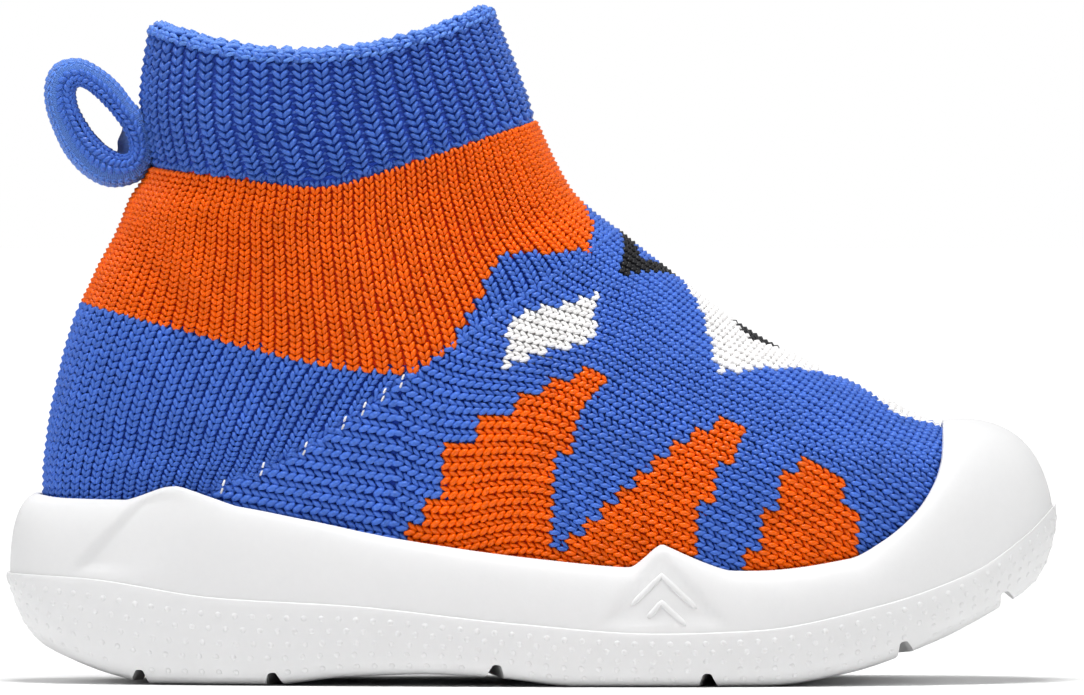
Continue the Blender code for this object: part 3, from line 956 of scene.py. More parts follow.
# %% Which yarn each stitch takes
# Stripes in side view: outlines of x and z
STRIPES = (
    ((7.8, 42.2), (10.2, 40.4), (8.6, 37.0), (5.7, 32.1), (3.1, 25.5), (2.2, 12.0), (-21.7, 12.0),
     (-16.6, 20.6), (-11.1, 28.6), (-9.6, 32.1), (-3.2, 36.8)),
    ((25.6, 35.2), (28.0, 33.8), (26.2, 29.8), (24.1, 26.8), (22.2, 21.6), (20.6, 12.0), (-3.0, 12.0),
     (2.3, 18.3), (7.4, 22.0), (13.4, 27.4), (16.8, 30.8)),
    ((35.4, 30.2), (38.2, 31.4), (40.6, 29.6), (42.0, 26.2), (42.9, 22.8), (43.5, 19.3), (43.0, 12.0),
     (27.4, 12.0), (29.0, 15.8), (29.8, 17.9), (31.1, 20.7), (32.3, 24.2), (34.0, 27.2)),
)
# Lozenges: middle course, reach in courses, middle wale and reach in wales, yarn
LOZENGES = (
    (8.5, 7.5, (0.0, 8.0), BLACK_YARN),
    (8.5, 3.2, (0.0, 3.6), BLUE_YARN),
    (33.0, 16.5, (0.0, 12.0), WHITE_YARN),
    (33.0, 5.5, (0.0, 4.0), BLACK_YARN),
    (58.0, 7.5, (0.0, 4.2), WHITE_YARN),
    (9.0, 6.0, (15.0, 4.6), WHITE_YARN),
)
# The border below the leg: wales in a point, height in courses, wales from the front centre
BORDER_PERIOD, BORDER_RISE, BORDER_REACH = 12, 8, 19


def inside(outline, x, z):
    """Whether points lie inside a closed outline."""
    held = np.zeros(np.shape(x), bool)
    for (x0, z0), (x1, z1) in zip(outline, outline[1:] + outline[:1]):
        if z0 != z1:
            held ^= ((z0 > z) != (z1 > z)) & (x < (x1 - x0) * (z - z0) / (z1 - z0) + x0)
    return held


def foot_yarn(grid):
    """Yarn of each stitch of the foot: stripes on the side and lozenges over the instep."""
    choice = np.full(grid.shape[:2], BLUE_YARN)
    course, wale = np.indices(choice.shape)
    # Stripes change yarn in steps of two courses and two wales.
    step = grid[np.minimum(course // 2 * 2 + 1, len(grid) - 1), wale // 2 * 2]
    for outline in STRIPES:
        choice[inside(outline, step[..., 0], step[..., 2])] = ORANGE_YARN
    wale = wale + 0.5
    for middle, reach, (middle_wale, half), yarn in LOZENGES:
        choice[np.abs(course - middle) / reach + np.abs(wale - middle_wale) / half < 1] = yarn
    return choice


def leg_yarn(grid):
    """Orange, with stepped blue points up from the lower edge in front."""
    choice = np.full(grid.shape[:2], ORANGE_YARN)
    course, wale = np.indices(choice.shape)
    from_front = np.minimum(wale, LEG_WALES - 1 - wale)
    wave = np.abs(from_front % BORDER_PERIOD - BORDER_PERIOD / 2) / (BORDER_PERIOD / 2)
    border = LEG_COURSES - 1 - BORDER_RISE * wave
    choice[(course > border) & (from_front < BORDER_REACH)] = BLUE_YARN
    return choice


leg_dye = YARNS[leg_yarn(leg_grid)]
outer_dye, inner_dye = YARNS[foot_yarn(outer_foot)], YARNS[foot_yarn(inner_foot)]
print("Orange stitches on the outer foot:", int((foot_yarn(outer_foot) == ORANGE_YARN).sum()))

# %% Knit the leg, heel and foot
KNIT_DEPTH = 1.20
UNDER_CUFF = 0.45  # the first course of the leg lies lower, under the cuff


def plain_blue(grid):
    return np.broadcast_to(np.array(BLUE), grid[..., :3].shape)


leg_grid[0, :, :3] -= unit(leg_grid[0, :, 3:]) * UNDER_CUFF
leg_dye[0] = BLUE
leg_rows = stitches(leg_grid, leg_dye, KNIT_DEPTH)
heel_rows = stitches(heel_grid, plain_blue(heel_grid), KNIT_DEPTH, above_rim(heel_grid))
# A chain of stitches lies low in the gore, where the ends of the courses leave gaps.
GORE_STEP = 1.0
GORE_STITCH = (1.9, GORE_STEP * 1.1, KNIT_DEPTH)
GORE_SINK = 0.85
gore_rows = [heel_rows]
for side in (-1, 1):
    places = np.linspace(GORE[0, 0], GORE_TOP[0], 60)
    line = np.array([side_cast(x, gore_height(x), side)[0] for x in places])
    chain = along_course(line, np.arange(0.0, course_length(line), GORE_STEP))
    points, facing = chain[:, :3], chain[:, 3:]
    way = unit(np.gradient(points, axis=0))
    count = len(chain)
    gore_rows.append([points - facing * GORE_SINK, facing, way,
                      np.tile(GORE_STITCH, (count, 1)), np.tile(BLUE, (count, 1))])
heel_rows = joined(*gore_rows)
foot_rows = []
for grid, dye_and_painted_light in ((outer_foot, outer_dye), (inner_foot, inner_dye)):
    keep = above_rim(grid)
    keep[0] &= grid[0, :, 2] < GORE_TOP[1]
    foot_rows.append(stitches(grid, dye_and_painted_light, KNIT_DEPTH, keep))
back_rows = []
for grid in (outer_back, inner_back):
    keep = above_rim(grid)
    keep[-1] = False
    back_rows.append(stitches(grid, plain_blue(grid), KNIT_DEPTH, keep))
KNITTED = (
    ("leg_knit", knit_shape, leg_rows),
    ("heel_knit", knit_shape, heel_rows),
    ("foot_knit_outer", outer_shape, joined(foot_rows[0], back_rows[0])),
    ("foot_knit_inner", inner_shape, joined(foot_rows[1], back_rows[1])),
)
for name, shape, rows in KNITTED:
    put_on(knit(name, shape, rows), "upper_knit")

# %% [markdown]
# ## The ribbed cuff
# The cuff is a one-by-one rib: wales stand up like cords, with purl bars low between them. It is turned
# over at the rim, so the rib goes on inside, and chains of stitches lie along the fold.

# %% Cuff courses
CUFF_WALES = 50
CUFF_COURSES = 17
CUFF_INSIDE_COURSES = 14
CUFF_TOP = TOP_RISE - 0.14
RIB_DEPTH = 1.25
RIB_SINK, LINING_SINK = 0.72, 0.45
CUFF_PAINTED_SHADE = 0.87  # painted shade: the blue of the whole rib is made darker


def cuff_ring(rise, offset, count, shift=0.5):
    """Points round the cuff at one rise, evenly spaced, moved out by this offset."""
    turn = -np.linspace(0, 2 * math.pi, 721)
    points = sock_point(turn, rise)
    normal = sock_normal(turn, np.full_like(turn, rise))
    ring = np.concatenate((points + normal * offset, normal), 1)
    return along_course(ring, (np.arange(count) + shift) / count * course_length(ring))


outside = np.array([cuff_ring(rise, 0.0, CUFF_WALES)
                    for rise in np.linspace(CUFF_TOP, CUFF_RISE, CUFF_COURSES)])
lining = np.array([cuff_ring(rise, -CUFF_WALL, CUFF_WALES)
                   for rise in np.linspace(CUFF_RISE + 0.1, TOP_RISE - 0.10, CUFF_INSIDE_COURSES)])
lining[..., 3:] *= -1
lining = lining[:, ::-1]
cuff_rows = stitches(outside, plain_blue(outside) * CUFF_PAINTED_SHADE, RIB_DEPTH, sink=RIB_SINK)
lining_rows = stitches(lining, plain_blue(lining), RIB_DEPTH, sink=LINING_SINK)
put_on(knit("cuff_rib", rib_shape, cuff_rows), "upper_knit")
put_on(knit("cuff_rib_inside", rib_shape, lining_rows), "upper_knit")

# %% Chains on the fold of the cuff
CHAIN_STEP = 1.15
CHAIN_WIDE = 1.45
CHAIN_ANGLES = (22.0, 74.0, 126.0)
FOLD_RADIUS = CUFF_WALL / 2
FOLD_IN, FOLD_DOWN = 0.65, 1.65  # from the top edge to the core of the fold
SCALLOP = 0.22
FOLD_HIGHLIGHT_BLUE = (0.100, 0.228, 0.660)  # painted highlight: the fold along the top is made a paler blue
count = int(course_length(cuff_ring(TOP_RISE, 0.0, 400)) / CHAIN_STEP)
top = cuff_ring(TOP_RISE, 0.0, count)
below = cuff_ring(TOP_RISE - 0.15, 0.0, count)
upward = unit(top[:, :3] - below[:, :3])
outward = unit(top[:, 3:] - upward * (top[:, 3:] * upward).sum(1, keepdims=True))
core = top[:, :3] - outward * (FOLD_RADIUS + FOLD_IN) - upward * FOLD_DOWN
tangent = unit(np.roll(core, -1, 0) - np.roll(core, 1, 0))
scallop = SCALLOP * np.cos(2 * math.pi * CUFF_WALES * (np.arange(count) + 0.5) / count)
fold_rows = []
for angle in np.radians(CHAIN_ANGLES):
    facing = outward * math.cos(angle) + upward * math.sin(angle)
    points = core + facing * (FOLD_RADIUS + scallop)[:, None]
    size = np.tile((CHAIN_WIDE, CHAIN_STEP, KNIT_DEPTH), (count, 1))
    fold_rows.append([points, facing, tangent, size, np.tile(FOLD_HIGHLIGHT_BLUE, (count, 1))])
put_on(knit("cuff_fold", knit_shape, joined(*fold_rows)), "upper_knit")

# %% [markdown]
# ## The fabric behind the stitches
# Between the stitches one sees into the fabric. A closed shell lies a little below them. It has the wall
# of the real knit, open at the collar and underneath, and takes the colour of the nearest stitch, made
# darker and deeper there as painted shade.

# %% Shell of the sock
SHELL_TURNS, OUTER_RINGS, INNER_RINGS = 200, 100, 44
SHELL_SINK = 0.85
GAP_SHADE_POWER = 1.5  # power that makes the colours between the stitches darker and deeper: painted shade


def shell_ring(rise, sink):
    """A ring of the fabric at one rise, this far below the surface of the sock."""
    turn = np.linspace(-math.pi, math.pi, SHELL_TURNS, endpoint=False)
    rises = np.full_like(turn, rise)
    return creased(sock_point(turn, rises), sock_normal(turn, rises), sink)


shell_rings = [shell_ring(rise, SHELL_SINK) for rise in np.linspace(0.0, CUFF_TOP, OUTER_RINGS)]
for rise in np.linspace(CUFF_TOP, 0.0, INNER_RINGS):
    in_cuff = float(ease(rise, CUFF_RISE - 0.1, CUFF_RISE + 0.6))
    shell_rings.append(shell_ring(rise, KNIT_WALL + (CUFF_WALL - SHELL_SINK - KNIT_WALL) * in_cuff))
shell_points = np.concatenate(shell_rings)
shell_faces = ring_quads(len(shell_rings), SHELL_TURNS, cyclic_rings=True)

# Where heel and foot start, the fabric is blue already.
shell_leg_dye = leg_dye.copy()
shell_leg_dye[-1] = BLUE
shell_leg_rows = stitches(leg_grid, shell_leg_dye, KNIT_DEPTH)
knit_rows = [shell_leg_rows] + [rows for _, _, rows in KNITTED[1:]] + [cuff_rows]
tree = KDTree(sum(len(rows[0]) for rows in knit_rows))
nearest_dye = np.concatenate([rows[4] for rows in knit_rows])
for number, point in enumerate(np.concatenate([rows[0] for rows in knit_rows])):
    tree.insert(point, number)
tree.balance()
face_middles = shell_points[np.array(shell_faces)].mean(1)
# Painted shade: the colours between the stitches are made darker and deeper.
shell_dye_and_shade = np.array([nearest_dye[tree.find(point)[1]] for point in face_middles]) ** GAP_SHADE_POWER

# %% Finish of the fabric, with small purl bumps on its inner face
fabric_finish, shader, place = new_finish("fabric", Sheen_Weight=0.2, Specular_IOR_Level=0.2)
dye_and_painted_light = place.node("ShaderNodeAttribute", {"attribute_name": "yarn"})
around, along = place.node("ShaderNodeUVMap", {"uv_map": "OFBake"}).two_ways()
PURL_COURSES, PURL_WALES = 150, 100
row_wave = (along * (2 * math.pi * PURL_COURSES)).wave()
purl = (around * (2 * math.pi * PURL_WALES) + row_wave * 0.8).wave() * 0.5 + 0.5
ridge = (row_wave * 0.5 + 0.5) * 0.6 + purl * 0.4
fibre = noise(place, 4200.0, 3.0, 0.6)
# Painted shade: the colour is darker in the grooves between the purl ridges, which are also bumped.
feed(shader, Base_Color=dye_and_painted_light.shaded(ridge * 0.30 + fibre * 0.25 + 0.60))
feed(shader, Roughness=fibre * 0.2 + 0.75, Normal=bump(ridge * 0.8 + fibre * 0.2, 0.6, 0.0004))

shell = mesh_object("sock_fabric", shell_points, shell_faces, fabric_finish)
store_dye(shell.data, shell_dye_and_shade, "FACE")
grid_uv(shell, len(shell_rings), SHELL_TURNS)
put_on(shell, "upper_knit", "upper")

# %% [markdown]
# ## The rubber cup
# The sole is one white moulding: tread, dotted band, a fine raised parting line, then a smooth wall that
# curves in to the rim. It is a loft of many rings. Soft facets beside the heel and under the front peak
# are pressed into the wall by moving its points inwards.

# %% Rubber finish
rubber_finish, shader, place = new_finish("white_rubber", Specular_IOR_Level=0.45)
cloud = noise(place, 22.0, 3.0)
speck = noise(place, 900.0, 2.0)
grain = noise(place, 2600.0, 2.0)
RUBBER_LOW, RUBBER_HIGH = (0.645, 0.645, 0.65, 1), (0.715, 0.715, 0.715, 1)
feed(shader, Base_Color=(cloud * 0.7 + speck * 0.3).mix(RUBBER_LOW, RUBBER_HIGH))
feed(shader, Roughness=cloud * 0.16 + speck * 0.10 + 0.36)
feed(shader, Normal=bump(grain * 0.7 + speck * 0.3, 0.12, 0.00008))

# %% Rings of the cup
FIT_GAP = 0.3
LIP = 0.8
LIP_THINNING = 0.45  # over the toe
PARTING_FADE = 0.6  # at both ends
WALL_FULLNESS = 0.85
TOE_FULLNESS = 0.27
TOE_TUCK = 2.0
# Columns: back x, front x, rear half width, fore half width, share of the way up to the parting line
SOLE = np.array((
    (6.0, 93.2, 36.0, 44.6, 0.00),
    (2.6, 97.0, 40.6, 49.0, 0.06),
    (0.9, 99.0, 42.8, 51.0, 0.30),
    (0.1, 100.0, 43.8, 52.0, 0.70),
    (0.0, 100.0, 44.0, 52.2, 1.00),
))
CUP_TURNS, BAND_RINGS, WALL_RINGS = 600, 17, 26


def turn_at_rim(x):
    """The turn at which the rim of the cup reaches x, on the inner side."""
    low, high = 0.0, math.pi
    for _ in range(HALVINGS):
        middle = (low + high) / 2
        there = sock_point(middle, rim_rise(np.array(middle)))[0]
        low, high = (middle, high) if there > x else (low, middle)
    return low


def cup_turns():
    """Even turns, with the nearest ones moved to the corners of the peaks."""
    half = np.linspace(0, math.pi, CUP_TURNS // 2 + 1)
    for place, _, run_back, run_front, _ in PEAKS:
        for corner in (place - run_back, place, place + run_front * 0.55):
            wanted = turn_at_rim(at_x(corner))
            half[1 + np.argmin(np.abs(half[1:-1] - wanted))] = wanted
    return np.concatenate((half, -half[-2:0:-1]))


def sole_ring(turns, row, shrink=0.0, lift=0.0):
    """A loop of the sole below its wall."""
    x, y, _ = loop_xy(
        turns, at_x(row[0]) + shrink, at_x(row[1]) - shrink,
        row[2] / 100 * BALL_WIDTH - shrink, row[3] / 100 * BALL_WIDTH - shrink, SOCK[0, 7])
    low, high = read_line(BOTTOM_LINE, x), read_line(PARTING_LINE, x)
    return np.stack((x, y, low + (high - low) * row[4] + lift), 1)


turns = cup_turns()
rings = [sole_ring(turns, row) for row in smooth_rows(SOLE, np.linspace(0, len(SOLE) - 1, BAND_RINGS))]
over_toe = 1 - ease(np.abs(turns), 0.25, 0.90)
over_heel = ease(np.abs(turns), math.pi - 0.7, math.pi - 0.2)
faded = 1 - PARTING_FADE * np.maximum(over_toe, over_heel)
for shrink, lift in ((0.05, 0.16), (0.20, 0.26), (0.36, 0.22), (0.42, 0.20)):
    rings.append(sole_ring(turns, SOLE[-1], shrink, lift * faded))
ledge = rings[-1]
rims = rim_rise(turns)
rim_points, rim_normals = sock_point(turns, rims), sock_normal(turns, rims)
lip = LIP * (1 - LIP_THINNING * (1 - ease(np.abs(turns), 0.25, 0.8)))[:, None]
lips = rim_points + rim_normals * (FIT_GAP + lip)
upright = (lips[:, 2] - ledge[:, 2]) * (WALL_FULLNESS + TOE_FULLNESS * over_toe)
bow = np.stack((ledge[:, 0] - TOE_TUCK * over_toe, ledge[:, 1], ledge[:, 2] + upright), 1)
wall_start = len(rings)
for share in np.linspace(0, 1, WALL_RINGS + 1)[1:]:
    rings.append(ledge * (1 - share) ** 2 + bow * 2 * share * (1 - share) + lips * share**2)
wall_end = len(rings)
for out, rise in ((0.85, 0.10), (0.65, 0.16), (0.40, 0.14)):
    ring = rim_points + rim_normals * (FIT_GAP + lip * out)
    rings.append(ring + np.array((0, 0, rise)))
for share in (1.0, 0.88, 0.76, 0.64, 0.52, 0.42, 0.32, 0.25, 0.17, 0.09, 0.0):
    part = rims * share
    rings.append(sock_point(turns, part) + sock_normal(turns, part) * FIT_GAP)
rings[-1] = rings[-1] - np.array((0, 0, FIT_GAP))
cup_points = np.array(rings)
print("Cup rings:", len(rings))

# %% Soft facets in the wall
HEEL_FACET = ((-51.5, 24.9), (-61.8, 14.0))
HEEL_FACET_DEPTH = 0.50
HEEL_EDGE, HEEL_RUN = 1.3, 11.0  # widths of the pressed edge and of the slope behind it
PEAK_FACET = ((16.9, 18.6), (9.0, 8.6), (26.4, 8.2))
PEAK_FACET_DEPTH = 0.32
PEAK_EDGE = 1.4


def line_distance(start, end, x, z):
    """Distance from a line, positive on its right when going from start to end."""
    run = np.array(end) - np.array(start)
    run = run / np.linalg.norm(run)
    return (z - start[1]) * run[0] - (x - start[0]) * run[1]


wall = cup_points[wall_start:wall_end]
around = np.roll(wall, -1, 1) - np.roll(wall, 1, 1)
upwards = np.gradient(wall, axis=0)
wall_normal = unit(np.cross(around, upwards))
x, z = wall[..., 0], wall[..., 2]
share_up = np.linspace(0, 1, WALL_RINGS + 1)[1:, None]
fade = ease(share_up, 0.02, 0.15) * (1 - ease(share_up, 0.72, 0.97))
heel_away = line_distance(*HEEL_FACET, x, z)
heel_press = ease(heel_away, 0.0, HEEL_EDGE) * (1 - ease(heel_away, HEEL_EDGE, HEEL_RUN))
heel_press = heel_press * ease(-x, 40.0, 50.0)
apex, left_foot, right_foot = PEAK_FACET
left_in = line_distance(left_foot, apex, x, z)
right_in = line_distance(apex, right_foot, x, z)
peak_press = ease(-left_in, 0.0, PEAK_EDGE) * ease(-right_in, 0.0, PEAK_EDGE)
press = (heel_press * HEEL_FACET_DEPTH + peak_press * PEAK_FACET_DEPTH) * fade
cup_points[wall_start:wall_end] -= wall_normal * press[..., None]
print("Deepest facet:", round(float(press.max()), 2), "mm")

# %% Grooves across the tread
# Rows: place at the middle of the foot, how far ahead the groove swings at its ends
GROOVES = ((13.9, -3.0), (27.1, -3.0), (44.7, 3.0), (68.7, -3.0), (84.2, 3.0), (95.1, 1.5))
MOUTH, GROOVE_TOP, GROOVE_DEPTH, GROOVE_BELOW = 2.6, 1.5, 1.8, 6.0
GROOVE_REACH = 0.7  # of the ball's width, to each side
SHARP_ANGLE = math.radians(38)


def groove_bar(place, sweep):
    """Points and faces of a bar that bends at the middle of the foot and stands square to the tread."""
    mouth, top = MOUTH / 2, GROOVE_TOP / 2
    half = np.array((
        (mouth * 1.6, -GROOVE_BELOW), (mouth * 1.1, -0.3), (mouth * 0.92, 0.25),
        (top, GROOVE_DEPTH * 0.70), (top * 0.75, GROOVE_DEPTH * 0.92), (top * 0.35, GROOVE_DEPTH)))
    profile = np.concatenate((half * (-1, 1), half[::-1]))
    x = at_x(place)
    slope = math.atan2(read_line(BOTTOM_LINE, x + 2) - read_line(BOTTOM_LINE, x - 2), 4.0)
    over = profile[:, 0] * math.cos(slope) - profile[:, 1] * math.sin(slope)
    rise = profile[:, 0] * math.sin(slope) + profile[:, 1] * math.cos(slope)
    points = []
    for side, ahead in ((-GROOVE_REACH, sweep), (0.0, 0.0), (GROOVE_REACH, sweep)):
        run = ahead / 100 * LENGTH
        lift = read_line(BOTTOM_LINE, x) + run * math.tan(slope)
        points.append(np.stack((x + over + run, np.full_like(over, side * BALL_WIDTH), rise + lift), 1))
    count = len(profile)
    faces = ring_quads(3, count) + [tuple(range(count))[::-1], tuple(range(2 * count, 3 * count))]
    return np.concatenate(points), faces


bars, bar_faces = [], []
for place, sweep in GROOVES:
    points, faces = groove_bar(place, sweep)
    start = sum(len(b) for b in bars)
    bars.append(points)
    bar_faces += [tuple(start + c for c in face) for face in faces]
cutter = mesh_object("groove_bars", np.concatenate(bars), bar_faces)
point_outwards(cutter)

cup_faces = across_strips(0, CUP_TURNS, turned=True) + ring_quads(len(rings), CUP_TURNS)
cup_faces += across_strips((len(rings) - 1) * CUP_TURNS, CUP_TURNS)
cup = mesh_object("rubber_cup", cup_points.reshape(-1, 3), cup_faces, rubber_finish)
point_outwards(cup)
cut = cup.modifiers.new("grooves", "BOOLEAN")
cut.operation = "DIFFERENCE"
cut.solver = "EXACT"
cut.object = cutter
graph = bpy.context.evaluated_depsgraph_get()
grooved = bpy.data.meshes.new_from_object(cup.evaluated_get(graph))
cup.modifiers.remove(cut)
cup.data = grooved
grooved.shade_smooth()
grooved.set_sharp_from_angle(angle=SHARP_ANGLE)
bpy.data.objects.remove(cutter, do_unlink=True)
put_on(cup, "sole_rubber", "sole")

# %% [markdown]
# ## Dots on the band
# Rows of small raised dots run round the band for grip. Geometry Nodes set a shallow dome on each point,
# in the same way as the stitches.

# %% Dome and dots
DOT_ROWS = (0.18, 0.34, 0.50, 0.66, 0.82)
DOT_STEP = 2.3
DOT_SIZE = 0.90
DOT_DEPTH = 0.26
DOT_TONE = 0.84
GROOVE_CLEAR = 2.4  # no dots in the mouth of a groove
DOME_SIDES = 8


def dome_shape():
    """A shallow dome of one unit across, closed underneath."""
    points = []
    for radius, height in ((0.5, -0.30), (0.46, 0.0), (0.30, 0.26)):
        for k in range(DOME_SIDES):
            angle = 2 * math.pi * k / DOME_SIDES
            points.append((radius * math.cos(angle), radius * math.sin(angle), height))
    points.append((0, 0, 0.36))
    faces = ring_quads(3, DOME_SIDES)
    last = 2 * DOME_SIDES
    faces += [(last + k, last + (k + 1) % DOME_SIDES, 3 * DOME_SIDES) for k in range(DOME_SIDES)]
    faces.append(tuple(range(DOME_SIDES))[::-1])
    made = mesh_object("dome", np.array(points) / MM, faces)
    layer = made.data.uv_layers.new(name="strand")
    spots = [made.data.vertices[loop.vertex_index].co for loop in made.data.loops]
    corners = np.array([(0.5 + 0.8 * spot.x, 0.5 + 0.8 * spot.y) for spot in spots], np.float32)
    layer.data.foreach_set("uv", corners.ravel())
    made.hide_render = True
    return made


def band_line(level):
    """A fine line round the band at this share of its height."""
    place = np.interp(level, SOLE[:, 4], np.arange(len(SOLE)))
    return sole_ring(np.linspace(-math.pi, math.pi, 1441), smooth_rows(SOLE, place[None])[0])


dome = dome_shape()
dot_rows = []
for number, level in enumerate(DOT_ROWS):
    line, higher_line = band_line(level), band_line(level + 0.08)
    count = int(course_length(line) / DOT_STEP)
    parts = (np.arange(count) + 0.5 * (number % 2)) / count
    spots = along_course(line, parts * course_length(line))
    higher = along_course(higher_line, parts * course_length(higher_line))
    tangent = unit(np.roll(spots, -1, 0) - np.roll(spots, 1, 0))
    facing = unit(np.cross(tangent, higher - spots))
    size = np.tile((DOT_SIZE, DOT_SIZE, DOT_DEPTH), (count, 1))
    good = ~np.isnan(spots).any(1) & ~np.isnan(facing).any(1)
    clear = np.ones(count, bool)
    for place, sweep in GROOVES:
        clear &= np.abs(spots[:, 0] - at_x(place + sweep * GROOVE_REACH)) > GROOVE_CLEAR
    low = spots[:, 2] < read_line(BOTTOM_LINE, spots[:, 0]) + GROOVE_CLEAR
    good &= clear | ~low
    dot_rows.append([part[good] for part in (spots, facing, tangent, size, np.full((count, 3), DOT_TONE))])
put_on(knit("band_dots", dome, joined(*dot_rows), rubber_finish, loose=0.0), "sole_rubber")

# %% [markdown]
# ## Chevron ribs
# Two fine raised chevrons stand on the wall under the front peak, on both sides. Each is a thin bar whose
# corners are found on the wall, so it follows its curve.

# %% Chevrons on the wall
CHEVRONS = (((13.0, 10.7), (17.0, 14.6), (21.6, 10.3)), ((15.2, 9.1), (17.0, 11.1), (20.2, 8.1)))
RIB_HALF = 0.44
RIB_HEIGHT = 0.21
# The section of a rib: over in half widths, up in heights
RIB_SECTION = ((-1.0, -0.6), (-0.75, 0.55), (-0.3, 1.0), (0.3, 1.0), (0.75, 0.55), (1.0, -0.6))
wall_skin = BVHTree.FromPolygons(
    cup_points.reshape(-1, 3).tolist(), ring_quads(len(rings), CUP_TURNS))


def wall_spot(x, z, side):
    """The point and outward direction of the wall at x and z, seen from one side."""
    point, normal, _, _ = wall_skin.ray_cast(Vector((x, side * 60, z)), Vector((0, -side, 0)))
    if normal.y * side < 0:
        normal = -normal
    return np.array(point), np.array(normal)


chevron_points, chevron_faces = [], []
for side in (-1, 1):
    for corners in CHEVRONS:
        corners = np.array(corners)
        path = np.concatenate([corners[0] + (corners[1] - corners[0]) * np.linspace(0, 1, 12)[:, None],
                               corners[1] + (corners[2] - corners[1]) * np.linspace(0, 1, 12)[1:, None]])
        spots = [wall_spot(x, z, side) for x, z in path]
        line, normal = np.array([s[0] for s in spots]), np.array([s[1] for s in spots])
        tangent = unit(np.gradient(line, axis=0))
        across = unit(np.cross(normal, tangent))
        start = len(chevron_points)
        count, sides = len(line), len(RIB_SECTION)
        from_end = np.minimum(np.arange(count), np.arange(count)[::-1])
        taper = np.minimum(1, from_end / 2.0 + 0.25)[:, None]
        for over, up in RIB_SECTION:
            chevron_points.extend(line + across * over * RIB_HALF * taper + normal * up * RIB_HEIGHT * taper)
        for k in range(sides):
            left, right = start + k * count, start + (k + 1) % sides * count
            for r in range(count - 1):
                chevron_faces.append((left + r, left + r + 1, right + r + 1, right + r))
        chevron_faces.append(tuple(start + k * count for k in range(sides)))
        chevron_faces.append(tuple(start + k * count + count - 1 for k in range(sides))[::-1])
chevrons = mesh_object("chevron_ribs", chevron_points, chevron_faces, rubber_finish)
point_outwards(chevrons)
put_on(chevrons, "sole_rubber")

# %% [markdown]
# ## The insole
# A loose foam pad lies on the floor of the cup, covered in pale cloth. It is seen only from above. Its
# top is hollowed at the heel, and its edge is rounded.

# %% Insole
cloth_finish, shader, place = new_finish("insole_cloth", Sheen_Weight=0.2)
over, under = place.two_ways()
THREADS = 2 * math.pi / 0.0009  # two threads in 0.9 mm
weave = (over * THREADS).wave() * (under * THREADS).wave() * 0.5 + 0.5
cloud = noise(place, 60.0)
CLOTH_LOW, CLOTH_HIGH = (0.42, 0.43, 0.45, 1), (0.60, 0.61, 0.62, 1)
# Painted shade: the cloth is darker between the threads of the weave; the cloud is tone that changes at
# random.
feed(shader, Base_Color=(weave * 0.6 + cloud * 0.4).mix(CLOTH_LOW, CLOTH_HIGH))
feed(shader, Roughness=weave * 0.15 + 0.75, Normal=bump(weave, 0.5, 0.0002))

PAD_TURNS = 180
PAD_RINGS = 16
HEEL_HOLLOW = 0.5
# The rounded edge: inset and lift
PAD_EDGE = ((1.2, 0.02), (0.1, 0.02), (0.0, 0.25), (0.0, 1.9), (0.15, 2.5), (0.5, 2.85), (1.1, 3.0))
turn = np.linspace(0, 2 * math.pi, PAD_TURNS, endpoint=False)
side = KNIT_WALL + 2 * FIT_GAP
pad_rings = []
for inset, lift in PAD_EDGE:
    ring = sock_point(turn, 0.0, side + inset)
    pad_rings.append(ring + np.array((0, 0, lift)))
edge = pad_rings[-1]
spine = edge.copy()
half = np.arange(PAD_TURNS // 2 + 1)
middles = (edge[half, 1] + edge[-half, 1]) / 2
spine[:, 1] = np.interp(edge[:, 0], edge[half, 0][::-1], middles[::-1])
for share in np.linspace(0, 1, PAD_RINGS)[1:-1]:
    ring = edge + (spine - edge) * share
    cup_heel = -HEEL_HOLLOW * ease(-edge[:, 0], 20, 40) * math.sin(math.pi / 2 * share)
    ring[:, 2] = edge[:, 2] + cup_heel
    pad_rings.append(ring)
pad_faces = across_strips(0, PAD_TURNS, turned=True) + ring_quads(len(pad_rings), PAD_TURNS)
pad_faces += across_strips((len(pad_rings) - 1) * PAD_TURNS, PAD_TURNS)
pad = mesh_object("insole_pad", np.concatenate(pad_rings), pad_faces, cloth_finish)
put_on(pad, "insole_cloth", "insole")

# %% [markdown]
# ## The pull loop
# A flat knitted tube is sewn to the back of the cuff and bent round a slanted slot. In side view it has
# an outer edge and a slot edge. A rounded section is drawn between each pair of points on them and swept
# round. Along each side runs a broad plait of stitches, with a narrow one beside the slot, and finer
# stitches cover the broad outer face.

# %% Edges of the pull loop
# Points in side view, x and z, round the outer edge and round the slot from the top
LOOP_OUTER = np.array((
    (-60.6, 82.0), (-62.5, 81.4), (-63.7, 79.8), (-64.1, 77.7), (-63.9, 75.4), (-63.0, 72.6),
    (-61.5, 69.5), (-59.3, 66.9), (-56.5, 65.2), (-53.8, 65.0), (-50.9, 66.2), (-49.4, 69.0),
    (-49.5, 72.0), (-50.7, 74.5), (-52.3, 76.2), (-53.8, 78.2), (-55.4, 79.8), (-57.3, 81.1), (-59.0, 81.9),
))
LOOP_SLOT = np.array((
    (-59.4, 78.3), (-59.8, 78.0), (-60.0, 77.3), (-59.9, 76.5), (-59.7, 75.6), (-59.0, 74.2),
    (-58.0, 72.6), (-57.0, 71.3), (-55.8, 70.2), (-54.4, 69.4), (-53.3, 69.3), (-52.8, 70.0),
    (-53.0, 71.4), (-53.7, 72.9), (-54.8, 74.4), (-56.0, 75.8), (-57.1, 76.9), (-58.0, 77.7), (-58.8, 78.2),
))
LOOP_HALF = 4.4
LOOP_STEPS = 96
LOOP_SIDES = 24


def round_rows(table, places):
    """Rows read between the rows of a closed table."""
    here = np.floor(places).astype(int)
    around_here = (table[(here + k) % len(table)] for k in (-1, 0, 1, 2))
    return curve_through((places - here)[:, None], *around_here)


